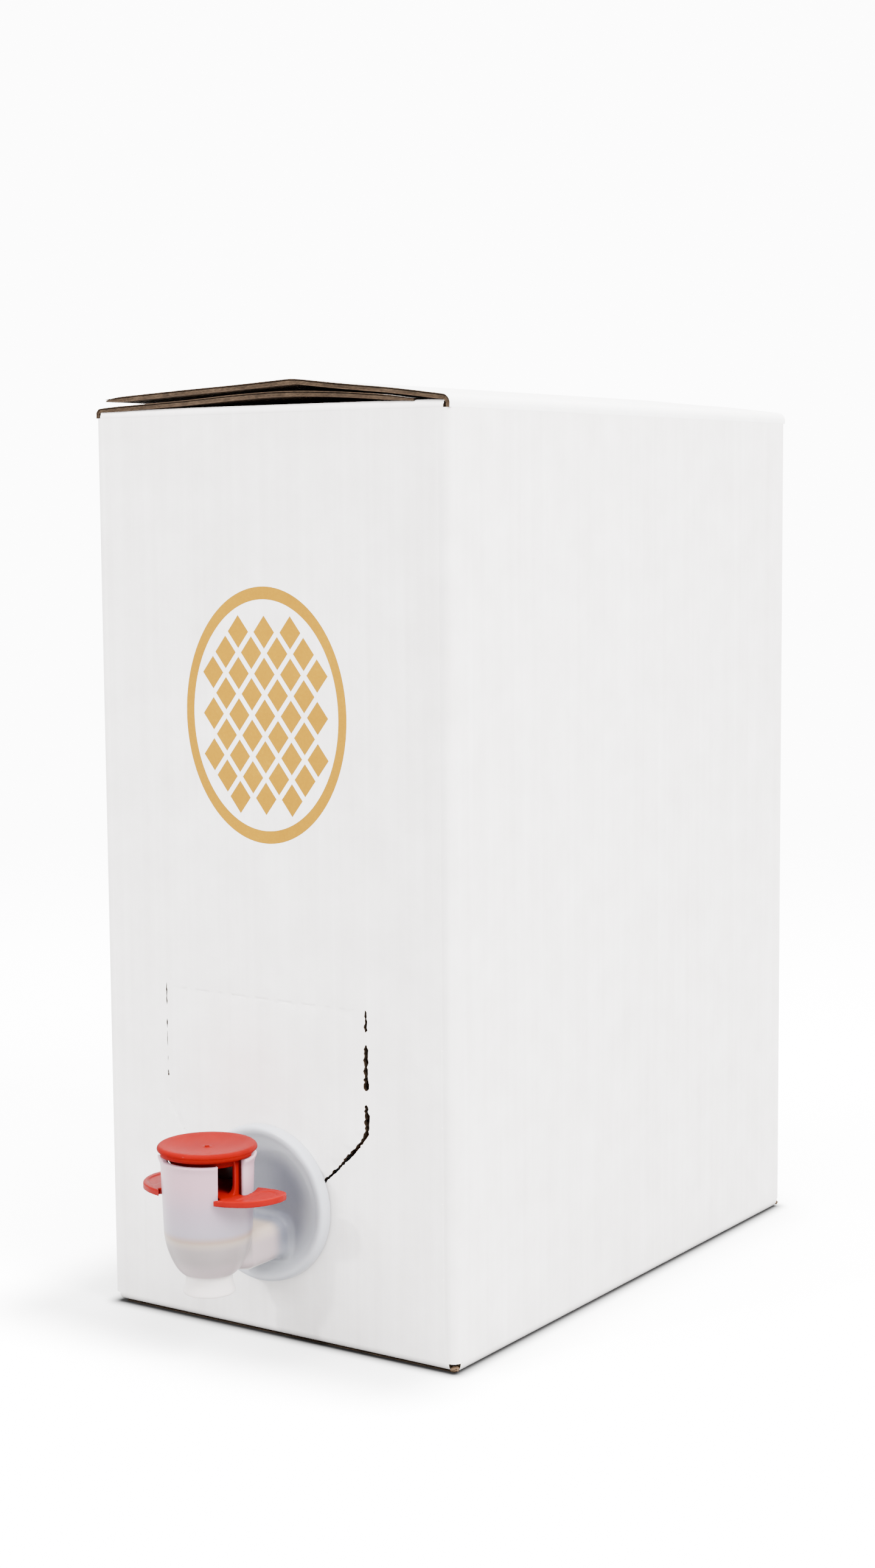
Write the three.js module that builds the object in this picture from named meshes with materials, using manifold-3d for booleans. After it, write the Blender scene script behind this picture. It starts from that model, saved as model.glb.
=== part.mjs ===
// Bag in box carton: a corrugated carton with a filled bag and a press tap.
// Units are millimetres. The origin is the centre of the carton's base, +Z is up,
// the panel with the tap faces -Y and the wide panel faces +X.

import * as THREE from 'three';
import { mergeVertices } from 'three/addons/utils/BufferGeometryUtils.js';
import { RoundedBoxGeometry } from 'three/addons/geometries/RoundedBoxGeometry.js';
import Module from 'manifold-3d';

const wasm = await Module();
wasm.setup();

// Running clearance between separate pieces
const clearance = 0.3;

// Carton
const cartonWidth = 116;
const cartonDepth = 188;
const panelHeight = 249.6;
const board = 1.4;
const foldRadius = 2.2;
const dustFlapLength = 54;
const dustFlapDrop = 1.2;
const cornerSlot = 3.2;
const bottomFlapShortfall = 3;

// Lower top flap, hinged on the left panel and bowed upwards by the bag
const lowerFlapLength = 98;
const lowerFlapEndRise = 1.15;
const lowerFlapCrestInset = 65.6;
const lowerFlapCrestRise = 3.3;

// Outer top flap, hinged on the right panel
const outerFlapShortfall = 3.7;
const outerFlapHingeInset = 1.4;
const outerFlapHingeRise = 0.7;
const outerFlapShoulderInset = 17.9;
const outerFlapShoulderRise = 3.2;
const outerFlapCrestInset = 49.3;
const outerFlapCrestRise = 6.5;
const outerFlapEndRise = 3.2;

// Tap window in the front panel
const windowTop = 93;
const windowLeft = -36.5;
const windowRight = 30.4;
const windowCutWidth = 0.8;
const windowLeftCuts = [[0, 6], [9, 14], [17, 23], [26, 31.8]];
const windowRightCuts = [[0, 5.7], [9.4, 21.2], [25.1, 32.4]];
const windowDiagonalLength = 22.6;
const windowLeftDiagonalLength = 9.6;
const windowLeftDiagonalTilt = 0.57;

// Tap axis and levels
const tapX = -2.5;
const tapReach = 25.4;
const outletLip = 19.1;
const outletTop = 24.2;
const bowlTop = 36;
const frontWallTop = 55.4;
const rearWallTop = 56.2;
const outletRadius = 6.1;
const outletLipRadius = 6.9;
const outletBore = 4.3;
const bowlTopRadius = 11.6;
const tapTopRadius = 12.3;
const bowlFullness = 1.6;
const tapWall = 1.4;
const seatLevel = 25.6;
const seatRadius = 7;
const rearLip = 0.8;
const rearLipHeight = 1.2;

// Side windows of the tap body, as bearings from the front
const sideWindowFront = 52;
const sideWindowRear = 89;

// Flange, neck and barrel
const flangeRadius = 21.4;
const flangeLevel = 37.4;
const flangeDepth = 3.7;
const flangePlate = 1.6;
const flangeRim = 3.2;
const neckWidth = 16.8;
const neckBottom = 23.6;
const neckTop = 34;
const neckCorner = 3;
const neckBore = 3.1;
const neckBoreLevel = 29.6;
const barrelRadius = 12.5;
const barrelWall = 1.5;
const barrelLength = 15;

// Gland
const glandWall = 2.2;
const glandLength = 16;
const glandGripFlange = 18.5;
const glandBaseFlange = 23;
const glandFlangeThickness = 1.5;

// Red actuator
const capRadius = 13.1;
const capTop = 58.8;
const capDish = 0.9;
const capThickness = 2.3;
const capSpigot = 2.2;
const capSpigotWall = 1;
const leverTop = 47;
const leverThickness = 1.65;
const wingReach = 21.3;
const wingFront = 9;
const wingRear = 8.1;
const legThickness = 1.2;
const legWidth = 3;
const legOuter = 10.5;
const stemRadius = 3.2;
const pistonLevel = 35.9;
const pistonThickness = 2;
const sealWidth = 2.4;
const sealHeight = 2.6;
const plugRadius = 5.6;
const plugHeight = 3.1;
const plugNose = 0.7;

// Bag
const bagGap = 0.5;
const bagCorner = 15;

// Places that follow from the sizes above
const halfWidth = cartonWidth / 2;
const halfDepth = cartonDepth / 2;
const tapY = -halfDepth - tapReach;
const flangeBack = -halfDepth - clearance;
const neckFlangeY = flangeBack - flangePlate / 2;
const capUnderside = capTop - capThickness;
const boreTop = tapTopRadius - tapWall;
const boreBottom = bowlTopRadius - tapWall;
const glandBore = barrelRadius + clearance;
const glandOuter = glandBore + glandWall;
const glandHole = glandOuter + clearance;
const leverUnderside = leverTop - leverThickness;
const leverDisc = boreBottom - clearance / 2;
const sealOuter = boreBottom - clearance / 2;
const sealInner = sealOuter - sealWidth;

function solidOf(geometry) {
  const bare = geometry.clone();
  bare.deleteAttribute('normal');
  bare.deleteAttribute('uv');
  const merged = mergeVertices(bare, 1e-4);
  return new wasm.Manifold(new wasm.Mesh({
    numProp: 3,
    vertProperties: new Float32Array(merged.attributes.position.array),
    triVerts: new Uint32Array(merged.index.array),
  }));
}

function geometryOf(solid) {
  const mesh = solid.getMesh();
  const geometry = new THREE.BufferGeometry();
  geometry.setAttribute('position', new THREE.BufferAttribute(mesh.vertProperties, 3));
  geometry.setIndex(new THREE.BufferAttribute(mesh.triVerts, 1));
  geometry.computeVertexNormals();
  return geometry;
}

function join(solids) {
  return solids.reduce((total, next) => total.add(next));
}

function cut(solid, tools) {
  return tools.reduce((rest, tool) => rest.subtract(tool), solid);
}

function block(x0, x1, y0, y1, z0, z1) {
  const geometry = new THREE.BoxGeometry(x1 - x0, y1 - y0, z1 - z0);
  geometry.translate((x0 + x1) / 2, (y0 + y1) / 2, (z0 + z1) / 2);
  return solidOf(geometry);
}

// A shape drawn in X and Z, carried along Y
function alongY(shape, y0, y1) {
  const geometry = new THREE.ExtrudeGeometry(shape, { depth: y1 - y0, bevelEnabled: false, curveSegments: 6 });
  geometry.rotateX(Math.PI / 2);
  geometry.translate(0, y1, 0);
  return solidOf(geometry);
}

// A shape drawn in Y and Z, carried along X
function alongX(shape, x0, x1) {
  const geometry = new THREE.ExtrudeGeometry(shape, { depth: x1 - x0, bevelEnabled: false, curveSegments: 6 });
  geometry.rotateX(Math.PI / 2);
  geometry.rotateZ(Math.PI / 2);
  geometry.translate(x0, 0, 0);
  return solidOf(geometry);
}

// A shape drawn in X and Y, carried along Z
function alongZ(shape, z0, z1) {
  const geometry = new THREE.ExtrudeGeometry(shape, { depth: z1 - z0, bevelEnabled: false, curveSegments: 8 });
  geometry.translate(0, 0, z0);
  return solidOf(geometry);
}

// A turned solid about the tap's upright axis, from pairs of radius and level
function turnedUpright(points, segments = 48) {
  const geometry = new THREE.LatheGeometry(points.map(([r, z]) => new THREE.Vector2(r, z)), segments);
  geometry.rotateX(Math.PI / 2);
  geometry.translate(tapX, tapY, 0);
  return solidOf(geometry);
}

// A turned solid about the gland's level axis, from pairs of radius and place along Y
function turnedLevel(points, segments = 48) {
  const geometry = new THREE.LatheGeometry(points.map(([r, y]) => new THREE.Vector2(r, y)), segments);
  geometry.translate(tapX, 0, flangeLevel);
  return solidOf(geometry);
}

function roundedRectangle(x0, y0, x1, y1, radius) {
  const shape = new THREE.Shape();
  shape.absarc(x1 - radius, y1 - radius, radius, 0, Math.PI / 2);
  shape.absarc(x0 + radius, y1 - radius, radius, Math.PI / 2, Math.PI);
  shape.absarc(x0 + radius, y0 + radius, radius, Math.PI, 1.5 * Math.PI);
  shape.absarc(x1 - radius, y0 + radius, radius, 1.5 * Math.PI, 2 * Math.PI);
  return shape;
}

// A smooth curve through pairs of place and height, as a row of points
function smoothRow(points, steps) {
  const places = points.map(([a, b]) => new THREE.Vector3(a, b, 0));
  const curve = new THREE.CatmullRomCurve3(places, false, 'centripetal');
  return curve.getPoints(steps).map(({ x, y }) => new THREE.Vector2(x, y));
}

// The fold at a wall's top, from the wall's outer face round to the flap's upper face
function foldRow(wallPlace, inward, top) {
  const steps = 5;
  const row = [new THREE.Vector2(wallPlace, top - foldRadius * 2)];
  for (let i = 0; i <= steps; i += 1) {
    const turn = i / steps * Math.PI / 2;
    row.push(new THREE.Vector2(
      wallPlace + inward * foldRadius * (1 - Math.cos(turn)),
      top - foldRadius * (1 - Math.sin(turn)),
    ));
  }
  return row;
}

// A bent sheet: the row runs along its upper face, and its thickness lies below
function sheetShape(row, thickness) {
  const side = Math.sign(row.at(-1).x - row[0].x);
  const under = row.map((place, i) => {
    const before = row[Math.max(i - 1, 0)];
    const after = row[Math.min(i + 1, row.length - 1)];
    const along = after.clone().sub(before).normalize();
    return new THREE.Vector2(
      place.x + along.y * side * thickness,
      place.y - along.x * side * thickness,
    );
  });
  return new THREE.Shape([...row, ...under.reverse()]);
}

// A pie sector about the tap's axis, between two bearings from the front
function sector(fromDegrees, toDegrees, radius, z0, z1) {
  const shape = new THREE.Shape();
  const steps = Math.ceil((toDegrees - fromDegrees) / 12);
  shape.moveTo(tapX, tapY);
  for (let i = 0; i <= steps; i += 1) {
    const bearing = THREE.MathUtils.degToRad(fromDegrees + (toDegrees - fromDegrees) * i / steps);
    shape.lineTo(tapX + radius * Math.sin(bearing), tapY - radius * Math.cos(bearing));
  }
  shape.closePath();
  return alongZ(shape, z0, z1);
}

function outerFlapPoints() {
  const endInset = cartonWidth - outerFlapShortfall;
  return [
    [halfWidth - outerFlapHingeInset, panelHeight + outerFlapHingeRise],
    [halfWidth - outerFlapShoulderInset, panelHeight + outerFlapShoulderRise],
    [halfWidth - outerFlapCrestInset, panelHeight + outerFlapCrestRise],
    [halfWidth - (outerFlapCrestInset + endInset) / 2, panelHeight + (outerFlapCrestRise + outerFlapEndRise) / 2],
    [halfWidth - endInset, panelHeight + outerFlapEndRise],
  ];
}

function outerTopFlap() {
  return alongY(sheetShape(smoothRow(outerFlapPoints(), 16), board), -halfDepth, halfDepth);
}

// The space that the outer flap keeps free above the rest of the carton
function outerFlapSpace() {
  const points = outerFlapPoints();
  const lift = outerFlapCrestRise * 3;
  const space = points.map(([x, z]) => [x, z - board - clearance]);
  const first = space[0];
  const shape = new THREE.Shape([
    new THREE.Vector2(halfWidth + board, first[1]),
    ...smoothRow(space, 16),
    new THREE.Vector2(points.at(-1)[0], panelHeight + lift),
    new THREE.Vector2(halfWidth + board, panelHeight + lift),
  ]);
  return alongY(shape, -halfDepth - board, halfDepth + board);
}

function lowerTopFlap() {
  const fold = foldRow(-halfWidth, 1, panelHeight + board / 2);
  const foldEnd = fold.at(-1);
  const bow = smoothRow([
    [foldEnd.x, foldEnd.y],
    [-halfWidth + lowerFlapCrestInset * 0.5, panelHeight + lowerFlapCrestRise * 0.6],
    [-halfWidth + lowerFlapCrestInset, panelHeight + lowerFlapCrestRise],
    [-halfWidth + lowerFlapLength, panelHeight + lowerFlapEndRise],
  ], 12);
  return alongY(sheetShape([...fold, ...bow.slice(1)], board), -halfDepth, halfDepth);
}

function dustFlap(side) {
  const fold = foldRow(side * halfDepth, -side, panelHeight);
  const inner = smoothRow([
    [fold.at(-1).x, fold.at(-1).y],
    [side * (halfDepth - foldRadius * 4), panelHeight - dustFlapDrop],
    [side * (halfDepth - dustFlapLength), panelHeight - dustFlapDrop],
  ], 4);
  const inset = board + foldRadius;
  return alongX(sheetShape([...fold, ...inner.slice(1)], board), -halfWidth + inset, halfWidth - inset);
}

function walls() {
  const outer = roundedRectangle(-halfWidth, -halfDepth, halfWidth, halfDepth, foldRadius);
  const inner = roundedRectangle(
    -halfWidth + board,
    -halfDepth + board,
    halfWidth - board,
    halfDepth - board,
    foldRadius - board,
  );
  outer.holes.push(inner);
  return alongZ(outer, 0, panelHeight - foldRadius * 1.5);
}

// The right wall's top strip, up to the outer flap's fold
function hingeStrip() {
  const inset = board + foldRadius;
  return block(
    halfWidth - board,
    halfWidth,
    -halfDepth + inset,
    halfDepth - inset,
    panelHeight - foldRadius * 2,
    panelHeight - board - clearance,
  );
}

function bottom() {
  const dust = [1, -1].map((side) => {
    const near = side * (halfDepth - board / 2);
    const far = side * (halfDepth - dustFlapLength);
    const y = [near, far].sort((a, b) => a - b);
    return block(-halfWidth + board / 2, halfWidth - board / 2, y[0], y[1], board * 2, board * 3);
  });
  const layers = [
    block(-halfWidth + bottomFlapShortfall, halfWidth - board / 2, -halfDepth, halfDepth, 0, board),
    block(-halfWidth + board / 2, halfWidth - bottomFlapShortfall, -halfDepth, halfDepth, board, board * 2),
  ];
  return join([...layers, ...dust]);
}

function bottomCornerSlots() {
  const slots = [];
  for (const x of [-halfWidth, halfWidth]) {
    for (const y of [-halfDepth, halfDepth]) {
      slots.push(block(x - cornerSlot, x + cornerSlot, y - cornerSlot / 2, y + cornerSlot / 2, -board, board));
    }
  }
  return slots;
}

// One knife cut in the front panel, from a point downwards, tilted towards the middle
function knifeCut(x, top, length, tilt) {
  const cutTool = new THREE.BoxGeometry(windowCutWidth, board * 3, length);
  cutTool.translate(0, 0, -length / 2);
  cutTool.rotateY(tilt);
  cutTool.translate(x, -halfDepth + board / 2, top);
  return solidOf(cutTool);
}

function windowCuts() {
  const left = windowLeftCuts.map(([from, to]) => knifeCut(windowLeft, windowTop - from, to - from, 0));
  const right = windowRightCuts.map(([from, to]) => knifeCut(windowRight, windowTop - from, to - from, 0));
  const lowestLeft = windowTop - windowLeftCuts.at(-1)[1] - board;
  const lowestRight = windowTop - windowRightCuts.at(-1)[1] - board;
  return [
    ...left,
    ...right,
    knifeCut(windowLeft, lowestLeft, windowLeftDiagonalLength, -windowLeftDiagonalTilt),
    knifeCut(windowRight, lowestRight, windowDiagonalLength - glandWall, Math.PI / 4),
  ];
}

function glandHoleTool() {
  return turnedLevel([
    [0, -halfDepth - board],
    [glandHole, -halfDepth - board],
    [glandHole, -halfDepth + board * 2],
    [0, -halfDepth + board * 2],
  ]);
}

function cartonBody() {
  const shell = join([
    walls(),
    hingeStrip(),
    dustFlap(1),
    dustFlap(-1),
    lowerTopFlap(),
    bottom(),
  ]);
  return cut(shell, [outerFlapSpace(), ...bottomCornerSlots(), ...windowCuts(), glandHoleTool()]);
}

function bag() {
  const floor = board * 3 + bagGap;
  const roof = panelHeight - dustFlapDrop - board - bagGap;
  const width = cartonWidth - 2 * (board + bagGap);
  const depth = cartonDepth - 2 * (board + bagGap);
  const geometry = new RoundedBoxGeometry(width, depth, roof - floor, 4, bagCorner);
  geometry.translate(0, 0, (roof + floor) / 2);
  const pocket = turnedLevel([
    [0, -halfDepth],
    [glandBaseFlange + clearance, -halfDepth],
    [glandBaseFlange + clearance, -halfDepth + glandLength + clearance],
    [0, -halfDepth + glandLength + clearance],
  ]);
  return solidOf(geometry).subtract(pocket);
}

function gland() {
  const front = -halfDepth;
  const back = front + glandLength;
  const grip = front + board + clearance;
  return turnedLevel([
    [glandBore, front],
    [glandOuter, front],
    [glandOuter, grip],
    [glandGripFlange, grip],
    [glandGripFlange, grip + glandFlangeThickness],
    [glandOuter, grip + glandFlangeThickness],
    [glandOuter, back - glandFlangeThickness],
    [glandBaseFlange, back - glandFlangeThickness],
    [glandBaseFlange, back],
    [glandBore, back],
    [glandBore, front],
  ]);
}

// The bowl's radius, full at its top and drawn in to the outlet
function bowlRadius(level, inner, outer) {
  const depth = (bowlTop - level) / (bowlTop - outletTop);
  return inner + (outer - inner) * (1 - depth ** bowlFullness) ** (1 / bowlFullness);
}

function bowlPoints(inner, outer, lowest) {
  const steps = 9;
  const points = [];
  for (let i = 0; i <= steps; i += 1) {
    const level = lowest + (bowlTop - lowest) * (1 - Math.cos(i / steps * Math.PI / 2));
    points.push([bowlRadius(level, inner, outer), level]);
  }
  return points;
}

function tapOutside() {
  return turnedUpright([
    [0, outletLip],
    [outletLipRadius, outletLip],
    [outletLipRadius, outletLip + 0.8],
    [outletRadius, outletLip + 2.6],
    ...bowlPoints(outletRadius, bowlTopRadius, outletTop),
    [tapTopRadius, rearWallTop],
    [0, rearWallTop],
  ]);
}

function tapInside() {
  const chamber = turnedUpright([
    [0, seatLevel],
    [seatRadius, seatLevel],
    ...bowlPoints(outletRadius, boreBottom, seatLevel + tapWall).filter(([r]) => r > seatRadius),
    [boreTop, rearWallTop + 1],
    [0, rearWallTop + 1],
  ]);
  const outlet = turnedUpright([
    [0, outletLip - 1],
    [outletBore + 1, outletLip - 1],
    [outletBore, outletTop],
    [outletBore, seatLevel + 1],
    [0, seatLevel + 1],
  ]);
  return [chamber, outlet];
}

function rearLipRing() {
  return turnedUpright([
    [boreTop + tapWall / 2, rearWallTop - rearLipHeight * 2],
    [tapTopRadius - 0.1, rearWallTop - rearLipHeight * 2],
    [tapTopRadius + rearLip, rearWallTop - rearLipHeight],
    [tapTopRadius + rearLip, rearWallTop],
    [boreTop + tapWall / 2, rearWallTop],
    [boreTop + tapWall / 2, rearWallTop - rearLipHeight * 2],
  ]);
}

function neck() {
  const shape = roundedRectangle(tapX - neckWidth / 2, neckBottom, tapX + neckWidth / 2, neckTop, neckCorner);
  return alongY(shape, tapY + bowlTopRadius / 2, neckFlangeY);
}

function neckPassage() {
  const shape = new THREE.Shape();
  shape.absarc(tapX, neckBoreLevel, neckBore, 0, 2 * Math.PI);
  return alongY(shape, tapY, flangeBack + clearance);
}

function flange() {
  const crest = flangeBack - flangeDepth;
  const dish = flangeBack - flangePlate;
  const inner = flangeRadius - flangeRim;
  return turnedLevel([
    [0, dish],
    [inner - 3, dish - 0.1],
    [inner, dish - 0.9],
    [inner + flangeRim * 0.45, crest],
    [flangeRadius - flangeRim * 0.2, crest + 0.4],
    [flangeRadius, crest + 1.3],
    [flangeRadius, flangeBack],
    [0, flangeBack],
  ]);
}

function barrel() {
  const end = flangeBack + barrelLength;
  return turnedLevel([
    [0, flangeBack - flangePlate / 2],
    [barrelRadius, flangeBack - flangePlate / 2],
    [barrelRadius, end - 1],
    [barrelRadius - 0.6, end],
    [0, end],
  ]);
}

function barrelBore() {
  const end = flangeBack + barrelLength;
  return turnedLevel([
    [0, flangeBack - clearance],
    [barrelRadius - barrelWall, flangeBack - clearance],
    [barrelRadius - barrelWall, end + 1],
    [0, end + 1],
  ]);
}

function tapBody() {
  const outside = join([tapOutside(), rearLipRing(), neck(), flange(), barrel()]);
  const reach = capRadius + 1;
  const aboveFront = sector(-sideWindowFront, sideWindowFront, reach, frontWallTop, rearWallTop + 1);
  const sideWindows = [
    sector(sideWindowFront, sideWindowRear, reach, leverUnderside - clearance, rearWallTop + 1),
    sector(-sideWindowRear, -sideWindowFront, reach, leverUnderside - clearance, rearWallTop + 1),
  ];
  return cut(outside, [...tapInside(), neckPassage(), barrelBore(), aboveFront, ...sideWindows]);
}

function legBlock(side, widen, z0, z1) {
  const inner = legOuter - legThickness - widen;
  const outer = legOuter + widen;
  const x = [tapX + side * inner, tapX + side * outer].sort((a, b) => a - b);
  return block(x[0], x[1], tapY - legWidth / 2 - widen, tapY + legWidth / 2 + widen, z0, z1);
}

function flexLeg(side) {
  return legBlock(side, 0, leverTop + clearance, capUnderside - clearance);
}

function thumbCap() {
  const spigot = boreTop - clearance * 2;
  const disc = turnedUpright([
    [0, capUnderside],
    [spigot - capSpigotWall, capUnderside],
    [spigot - capSpigotWall, capUnderside - capSpigot],
    [spigot, capUnderside - capSpigot],
    [spigot, capUnderside],
    [capRadius - 0.4, capUnderside],
    [capRadius, capUnderside + 0.5],
    [capRadius, capTop - 1],
    [capRadius - 0.5, capTop - 0.25],
    [capRadius - 1.5, capTop],
    [capRadius * 0.62, capTop - capDish * 0.75],
    [0, capTop - capDish],
  ]);
  const legRooms = [1, -1].map((side) => legBlock(side, clearance, leverTop, capUnderside));
  return cut(disc, legRooms);
}

// One finger wing, drawn as a rounded leaf beside the tap body
function wing(side) {
  const outline = [
    [wingFront, -wingFront],
    [wingReach * 0.62, -wingRear],
    [wingReach * 0.83, -wingRear * 0.7],
    [wingReach * 0.96, -wingRear * 0.18],
    [wingReach, wingRear * 0.25],
    [wingReach, wingRear * 0.72],
    [wingReach * 0.9, wingRear],
    [wingReach * 0.68, wingRear],
    [wingReach * 0.5, wingRear * 0.9],
  ];
  const shape = new THREE.Shape(outline.map(([x, y]) => new THREE.Vector2(tapX + side * x, tapY + y)));
  const leaf = alongZ(shape, leverUnderside, leverTop);
  const bodyRadius = bowlTopRadius + (tapTopRadius - bowlTopRadius) + clearance;
  const room = turnedUpright([
    [0, leverUnderside - 1],
    [bodyRadius, leverUnderside - 1],
    [bodyRadius, leverTop + 1],
    [0, leverTop + 1],
  ]);
  const margin = 2;
  const bearings = [side * (sideWindowFront + margin), side * (sideWindowRear - margin)].sort((a, b) => a - b);
  const root = sector(bearings[0], bearings[1], bodyRadius + 1.5, leverUnderside, leverTop);
  return leaf.subtract(room).add(root);
}

function wingLever() {
  const pistonTop = pistonLevel + pistonThickness / 2;
  const pistonBottom = pistonLevel - pistonThickness / 2;
  const piston = sealInner - clearance;
  const stemEnd = seatLevel + clearance + plugHeight + clearance;
  const core = turnedUpright([
    [0, stemEnd],
    [stemRadius, stemEnd],
    [stemRadius, pistonBottom],
    [piston, pistonBottom],
    [piston, pistonTop],
    [stemRadius, pistonTop],
    [stemRadius, leverUnderside],
    [leverDisc, leverUnderside],
    [leverDisc, leverTop],
    [0, leverTop],
  ]);
  return join([core, wing(1), wing(-1)]);
}

function pistonSeal() {
  const low = pistonLevel - sealHeight / 2;
  const high = pistonLevel + sealHeight / 2;
  return turnedUpright([
    [sealInner, low],
    [sealOuter, low],
    [sealOuter, high],
    [sealInner, high],
    [sealInner, low],
  ]);
}

function valvePlug() {
  const low = seatLevel + clearance;
  return turnedUpright([
    [0, low],
    [plugRadius, low],
    [plugRadius, low + plugNose],
    [stemRadius + 0.8, low + plugHeight],
    [0, low + plugHeight],
  ]);
}

const whiteBoard = new THREE.MeshStandardMaterial({ color: 0xe9e7e4, roughness: 0.75, metalness: 0 });
const filledFilm = new THREE.MeshStandardMaterial({ color: 0x9a8b7c, roughness: 0.35, metalness: 0 });
const milkyPlastic = new THREE.MeshStandardMaterial({ color: 0xe4e0de, roughness: 0.35, metalness: 0 });
const redPlastic = new THREE.MeshStandardMaterial({ color: 0xd62a1c, roughness: 0.25, metalness: 0 });
const brownRubber = new THREE.MeshStandardMaterial({ color: 0xa87f55, roughness: 0.6, metalness: 0 });

const model = new THREE.Group();

function addPart(name, solid, material) {
  const mesh = new THREE.Mesh(geometryOf(solid), material);
  mesh.name = name;
  model.add(mesh);
}

addPart('carton_body', cartonBody(), whiteBoard);
addPart('outer_top_flap', outerTopFlap(), whiteBoard);
addPart('bag', bag(), filledFilm);
addPart('gland', gland(), milkyPlastic);
addPart('tap_body', tapBody(), milkyPlastic);
addPart('thumb_cap', thumbCap(), redPlastic);
addPart('wing_lever', wingLever(), redPlastic);
addPart('flex_leg_right', flexLeg(1), redPlastic);
addPart('flex_leg_left', flexLeg(-1), redPlastic);
addPart('piston_seal', pistonSeal(), brownRubber);
addPart('valve_plug', valvePlug(), brownRubber);

export default model;
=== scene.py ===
import math
import random

import bmesh
import bpy
from mathutils import Matrix, Vector, geometry, noise


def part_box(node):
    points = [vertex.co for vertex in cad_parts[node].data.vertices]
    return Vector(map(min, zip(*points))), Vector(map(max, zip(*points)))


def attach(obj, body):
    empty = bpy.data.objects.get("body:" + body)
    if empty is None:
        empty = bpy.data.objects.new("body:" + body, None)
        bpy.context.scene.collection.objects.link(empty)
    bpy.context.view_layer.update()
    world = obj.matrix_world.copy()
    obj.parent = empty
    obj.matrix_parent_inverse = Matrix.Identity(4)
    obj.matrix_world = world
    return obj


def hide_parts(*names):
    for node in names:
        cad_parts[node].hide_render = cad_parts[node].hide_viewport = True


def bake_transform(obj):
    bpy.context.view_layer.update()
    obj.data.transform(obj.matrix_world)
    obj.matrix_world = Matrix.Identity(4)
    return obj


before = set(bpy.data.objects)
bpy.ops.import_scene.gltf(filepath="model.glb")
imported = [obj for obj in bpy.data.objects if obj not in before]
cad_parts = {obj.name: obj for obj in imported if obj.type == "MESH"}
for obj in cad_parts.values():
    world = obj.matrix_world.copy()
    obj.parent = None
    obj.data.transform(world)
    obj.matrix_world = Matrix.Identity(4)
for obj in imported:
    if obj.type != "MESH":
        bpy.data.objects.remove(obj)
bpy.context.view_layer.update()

# Lengths are in millimetres and become metres as points are placed. Those of the materials, the lights
# and the floor are in metres, unless a comment there says millimetres
MM = 0.001


def node_box(name):
    low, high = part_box(name)
    return low / MM, high / MM


carton_high = node_box("carton_body")[1]
cap_low, cap_high = node_box("thumb_cap")
tap_high = node_box("tap_body")[1]

# Carton
HALF_WIDTH = carton_high.x
HALF_DEPTH = carton_high.y
PANEL_TOP = 249.6
BOARD = 1.4
LINER = 0.22
FLUTE_PITCH = 3.3
FOLD = 2.2
TUBE_BOTTOM = 2.9
TUBE_TOP = 247.4
CORNER_SLOT = 3.2
DUST_REACH = 54

# Tap
TAP_X = (cap_low.x + cap_high.x) / 2
TAP_Y = (cap_low.y + cap_high.y) / 2
FLANGE_Z = 37.4
FLANGE_RADIUS = tap_high.x - TAP_X
OUTLET_LIP = 19.1
LEVER_TOP = 47.0
LEVER_UNDERSIDE = LEVER_TOP - 1.65
CAP_TOP = cap_high.z
CAP_UNDERSIDE = CAP_TOP - 2.3
CAP_RADIUS = cap_high.x - TAP_X
PISTON_Z = 35.9
BODY_TOP_RADIUS = 12.3
BODY_LOW_RADIUS = 11.6
BODY_WALL = 1.4
BOWL_TOP = 36.0
OUTLET_TOP = 24.2
OUTLET_RADIUS = 6.1
OUTLET_LIP_RADIUS = 6.9
FRONT_WALL_TOP = 55.4
REAR_WALL_TOP = 56.25
WINDOW_FRONT = 52
WINDOW_REAR = 89
SPIGOT_RADIUS = 12.5
CHAMBER_FLOOR = 25.6


def at(x, y, z):
    return Vector((x * MM, y * MM, z * MM))


def shifted(base, steps):
    """Points at the given steps from a base point."""
    return [(base[0] + a, base[1] + b) for a, b in steps]


def link_object(name, data):
    piece = bpy.data.objects.new(name, data)
    bpy.context.scene.collection.objects.link(piece)
    return piece


class Skin:
    """Collects points and faces, and turns them into one mesh object."""

    def __init__(self):
        self.points = []
        self.faces = []
        self.slots = []

    def add_points(self, points):
        first = len(self.points)
        self.points.extend(points)
        return list(range(first, len(self.points)))

    def add_face(self, corners, slot=0):
        self.faces.append(tuple(corners))
        self.slots.append(slot)

    def bridge(self, row_a, row_b, slots):
        """Joins two closed rows. Slots are one number, or one for each point of a row."""
        count = len(row_a)
        for i in range(count):
            j = (i + 1) % count
            slot = slots[i] if isinstance(slots, list) else slots
            self.add_face((row_a[i], row_a[j], row_b[j], row_b[i]), slot)

    def loft(self, rings):
        """Joins closed rows in turn, and closes both ends."""
        for ring_a, ring_b in zip(rings, rings[1:]):
            self.bridge(ring_a, ring_b, 0)
        self.add_face(rings[0][::-1])
        self.add_face(rings[-1])

    def build(self, name, materials, body, smooth=35, weighted=True):
        mesh = bpy.data.meshes.new(name)
        mesh.from_pydata([tuple(p) for p in self.points], [], self.faces)
        for material in materials:
            mesh.materials.append(material)
        mesh.polygons.foreach_set("material_index", self.slots)
        piece = link_object(name, mesh)
        settle_normals(mesh, smooth)
        if weighted:
            piece.modifiers.new("even_normals", "WEIGHTED_NORMAL").keep_sharp = True
        if body:
            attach(piece, body)
        return piece


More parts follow.
